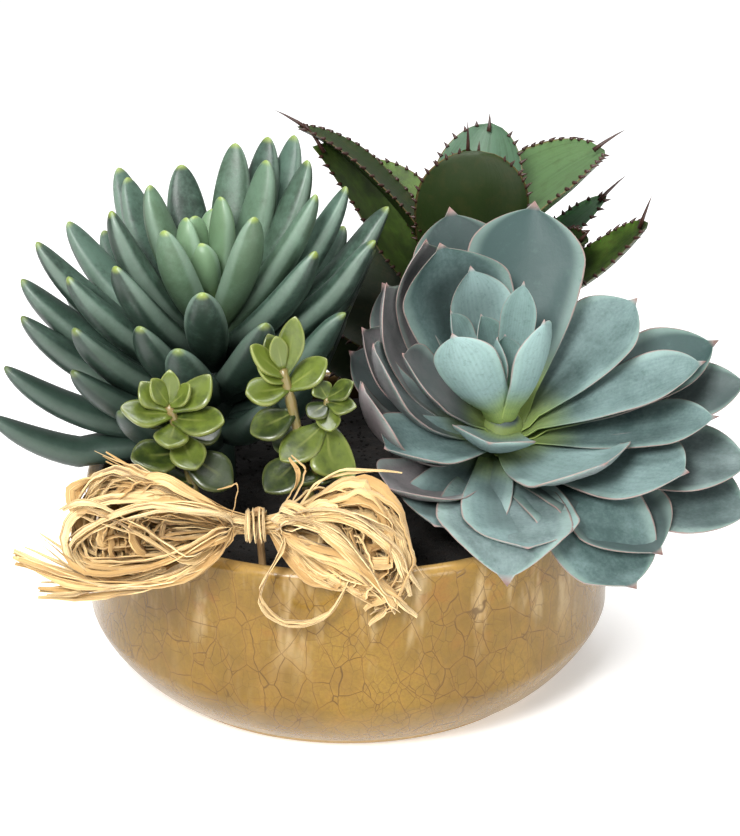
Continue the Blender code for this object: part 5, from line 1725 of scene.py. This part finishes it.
    def curve(self, name: str, strands: Sequence[Strand]) -> Item:
        """The strands as one curve object, with their widths as radii and their twists as tilts."""
        data = bpy.data.curves.new(name, "CURVE")
        data.dimensions = "3D"
        for strand in strands:
            spline = data.splines.new("POLY")
            last = len(strand.points) - 1
            spline.points.add(last)
            for i, (point, place, twist) in enumerate(zip(spline.points, strand.points, strand.twist)):
                point.co = (*(place * MM), 1.0)
                point.radius = strand.width * (0.35 + 0.65 * min(1.0, 6.0 * i / last, 6.0 * (last - i) / last))
                point.tilt = twist
        return link(name, data)

    def facing(self, tree: Tree, hub: Vector | None) -> Pin:
        """The direction that a strand's flat side looks in, square to the strand.

        Args:
            tree: The node tree being made.
            hub: The middle that wound strands look away from, or nothing for strands that look forwards.

        Returns:
            The direction's socket.
        """
        tangent = tree.grow("InputTangent", {}).outputs[0]
        look: Any = (0.0, -1.0, 0.0)
        if hub is not None:
            look = tree.vector("SUBTRACT", tree.grow("InputPosition", {}).outputs[0], tuple(hub * MM))
        along = tree.vector("SCALE", tangent, scale=tree.vector("DOT_PRODUCT", look, tangent))
        return tree.vector("NORMALIZE", tree.vector("SUBTRACT", look, along))

    def section(self, tree: Tree) -> Pin:
        """The ribbon's folded section, with its place across kept as an attribute."""
        flat = {"Width": 2.0 * MM, "Height": tree.given["Thickness"]}
        flat = tree.grow("CurvePrimitiveQuadrilateral", flat).outputs[0]
        flat = tree.grow("SubdivideCurve", {"Curve": flat, "Cuts": 1}).outputs[0]
        wide = tree.add("SeparateXYZ", {0: tree.grow("InputPosition", {}).outputs[0]}).outputs[0]
        bend = tree.math("MULTIPLY", tree.math("MULTIPLY", wide, wide), tree.given["Fold"])
        offset = tree.add("CombineXYZ", {1: tree.math("MULTIPLY", bend, 1.0 / MM)}).outputs[0]
        return tree.store(tree.grow("SetPosition", {"Geometry": flat, "Offset": offset}).outputs[0], "wide", wide)

    def ribbon_tree(self, name: str, material: Material, hub: Vector | None = None) -> bpy.types.NodeTree:
        """The node tree that turns strand curves into thin, folded, crumpled ribbons."""
        tree = Tree(name, self.sizes())
        faced = tree.grow("SetCurveNormal", {"Curve": tree.given["Geometry"]}, mode="FREE")
        tree.feed(faced.inputs["Normal"], self.facing(tree, hub))
        marked = tree.store(faced.outputs[0], "draw", tree.random(0.0, 1.0, tree.given["Seed"]), "CURVE")
        marked = tree.store(marked, "way", tree.grow("SplineParameter", {}).outputs["Length"])
        swept = {"Curve": marked, "Profile Curve": self.section(tree), "Fill Caps": True,
                 "Scale": tree.grow("InputRadius", {}).outputs[0]}
        mesh = tree.grow("CurveToMesh", swept).outputs[0]
        ripple = tree.wander(tree.grow("InputPosition", {}).outputs[0], 230.0, 1.0, tree.given["Crumple"])
        mesh = tree.grow("SetPosition", {"Geometry": mesh, "Offset": ripple}).outputs[0]
        across, along, draw = (tree.grow("InputNamedAttribute", {"Name": label}, data_type="FLOAT").outputs[0]
                               for label in ("wide", "way", "draw"))
        u, v = tree.math("MULTIPLY_ADD", across, 0.5 / MM, draw), tree.math("MULTIPLY", along, 60.0)
        uv = tree.add("CombineXYZ", {0: u, 1: v}).outputs[0]
        return tree.close(tree.store(mesh, "strand_map", uv, "CORNER", "FLOAT2"), material)

    def make(self) -> list[Item]:
        """Builds and dresses the bow, its tie and its pick."""
        fibre = RaffiaFibre().make()
        sizes = self.sizes()
        draw = random.Random(self.seed)
        strands = [self.loop_strand(loop, draw) for loop in self.loops for _ in range(loop.strands)]
        strands += [self.loose_strand(sheaf, draw) for sheaf in SHEAVES for _ in range(sheaf.count)]
        bow = bake_tree(self.curve("raffia_strands", strands), self.ribbon_tree("raffia_ribbons", fibre), sizes)
        winding = self.ribbon_tree("raffia_winding", fibre, WAIST)
        tie = bake_tree(self.curve("raffia_binding", self.wound()), winding, {**sizes, "Crumple": 0.0})
        for piece, node in ((bow, "raffia_bow"), (tie, "raffia_tie")):
            settle(piece, "raffia", node)
            piece.data.shade_smooth()
            piece.data.set_sharp_from_angle(angle=math.radians(self.crease))
        return [bow, tie, self.pick()]

    def pick(self) -> Item:
        """The wooden pick that the bow is lashed to."""
        maker = MeshMaker()
        way = (PICK_TOP - PICK_FOOT).normalized()
        stops = [PICK_TOP, *(PICK_TOP - way * (0.3 + 6.0 * k) for k in range(7)), PICK_FOOT + way * 7.0]
        radii = [PICK_RADIUS - 0.3] + [PICK_RADIUS] * (len(stops) - 1)
        rings = [(stop, way, radius, {"along": 0.0}) for stop, radius in zip(stops, radii)]
        maker.add_tube(rings, (1.0, 0.0, 0.0), 18, PICK_FOOT)
        return settle(maker.build("bow_pick_stick", PickWood().make()), "pick_wood", "bow_pick")


@dataclass(frozen=True)
class Softbox:
    """A soft studio light: its place and target in metres, its size, and its power in watts."""

    name: str
    place: Place
    target: Place
    size: tuple[float, float]
    power: float

    def make(self) -> None:
        """Hangs the light."""
        data = bpy.data.lights.new(self.name, "AREA")
        data.shape = "RECTANGLE"
        data.size, data.size_y = self.size
        data.energy = self.power
        lamp = link(self.name, data)
        lamp.location = self.place
        aim = Vector(self.target) - Vector(self.place)
        lamp.rotation_euler = aim.to_track_quat("-Z", "Y").to_euler()


MIDDLE = (0.0, 0.0, 0.09)
LOW = (0.0, 0.0, 0.04)
SOFTBOXES = (
    Softbox("key_left", (-0.4, -1.05, 1.0), MIDDLE, (0.5, 0.5), 29.0),
    Softbox("strip_left", (-0.62, -0.62, 0.20), LOW, (0.14, 0.5), 1.2),
    Softbox("strip_right", (0.52, -0.66, 0.20), LOW, (0.10, 0.5), 2.2),
    Softbox("top", (0.1, 0.15, 1.2), MIDDLE, (0.6, 0.6), 12.0),
    Softbox("backdrop", (0.0, 3.2, 1.6), (0.0, 4.6, 0.0), (4.0, 1.0), 60.0),
)


@dataclass
class Studio:
    """The pale floor, the soft lights and the camera at the photograph's angle."""

    elevation: float = 22.0
    distance: float = 0.85
    target: Place = (0.0075, 0.0, 0.0875)
    focal_pixels: float = 2481.0
    image_height: float = 836.0
    sensor: float = 36.0
    floor_half: float = 6.0
    floor_colour: Colour = (0.92, 0.92, 0.92, 1.0)
    floor_rough: float = 0.6
    floor_glow: float = 0.3
    sky: float = 0.4

    def make(self) -> None:
        """Sets the floor, the world, the lights and the camera."""
        scene, half = bpy.context.scene, self.floor_half
        data = bpy.data.meshes.new("floor")
        data.from_pydata([(-half, -half, 0), (half, -half, 0), (half, half, 0), (-half, half, 0)], [], [(0, 1, 2, 3)])
        paint = Graph("pale_floor").finish(self.floor_colour, self.floor_rough, more={Socket.GLOW: self.floor_glow})
        data.materials.append(paint)
        floor = link("floor", data)
        world = bpy.data.worlds.new("studio")
        world.use_nodes = True
        sky = world.node_tree.nodes["Background"]
        sky.inputs["Color"].default_value = (1.0, 1.0, 1.0, 1.0)
        sky.inputs["Strength"].default_value = self.sky
        scene.world = world
        for light in SOFTBOXES:
            light.make()
        self.camera()
        scene.view_settings.view_transform = "Standard"

    def camera(self) -> None:
        """Stands the camera at the photograph's angle."""
        lens = bpy.data.cameras.new("camera")
        lens.sensor_width = self.sensor
        lens.lens = self.focal_pixels / self.image_height * self.sensor
        camera = link("camera", lens)
        tilt = math.radians(self.elevation)
        forward = Vector((0.0, math.cos(tilt), -math.sin(tilt)))
        camera.location = Vector(self.target) - forward * self.distance
        camera.rotation_euler = (math.radians(90.0) - tilt, 0.0, 0.0)
        bpy.context.scene.camera = camera


def main() -> None:
    """Loads the frame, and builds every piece."""
    logging.basicConfig(level=logging.INFO, format="%(message)s")
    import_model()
    Studio().make()
    makers = (Bowl().make, Soil().make, BlueRosette().make, Echeveria().make, Agave().make, RaffiaBow().make)
    pieces = [piece for make in makers for piece in make()]
    skin = JadeSkin().make()
    for sprig in (JADE_LEFT, JADE_RIGHT):
        pieces += sprig.make(skin)
    LOG.info("%d pieces", len(pieces))


if __name__ == "__main__":
    main()
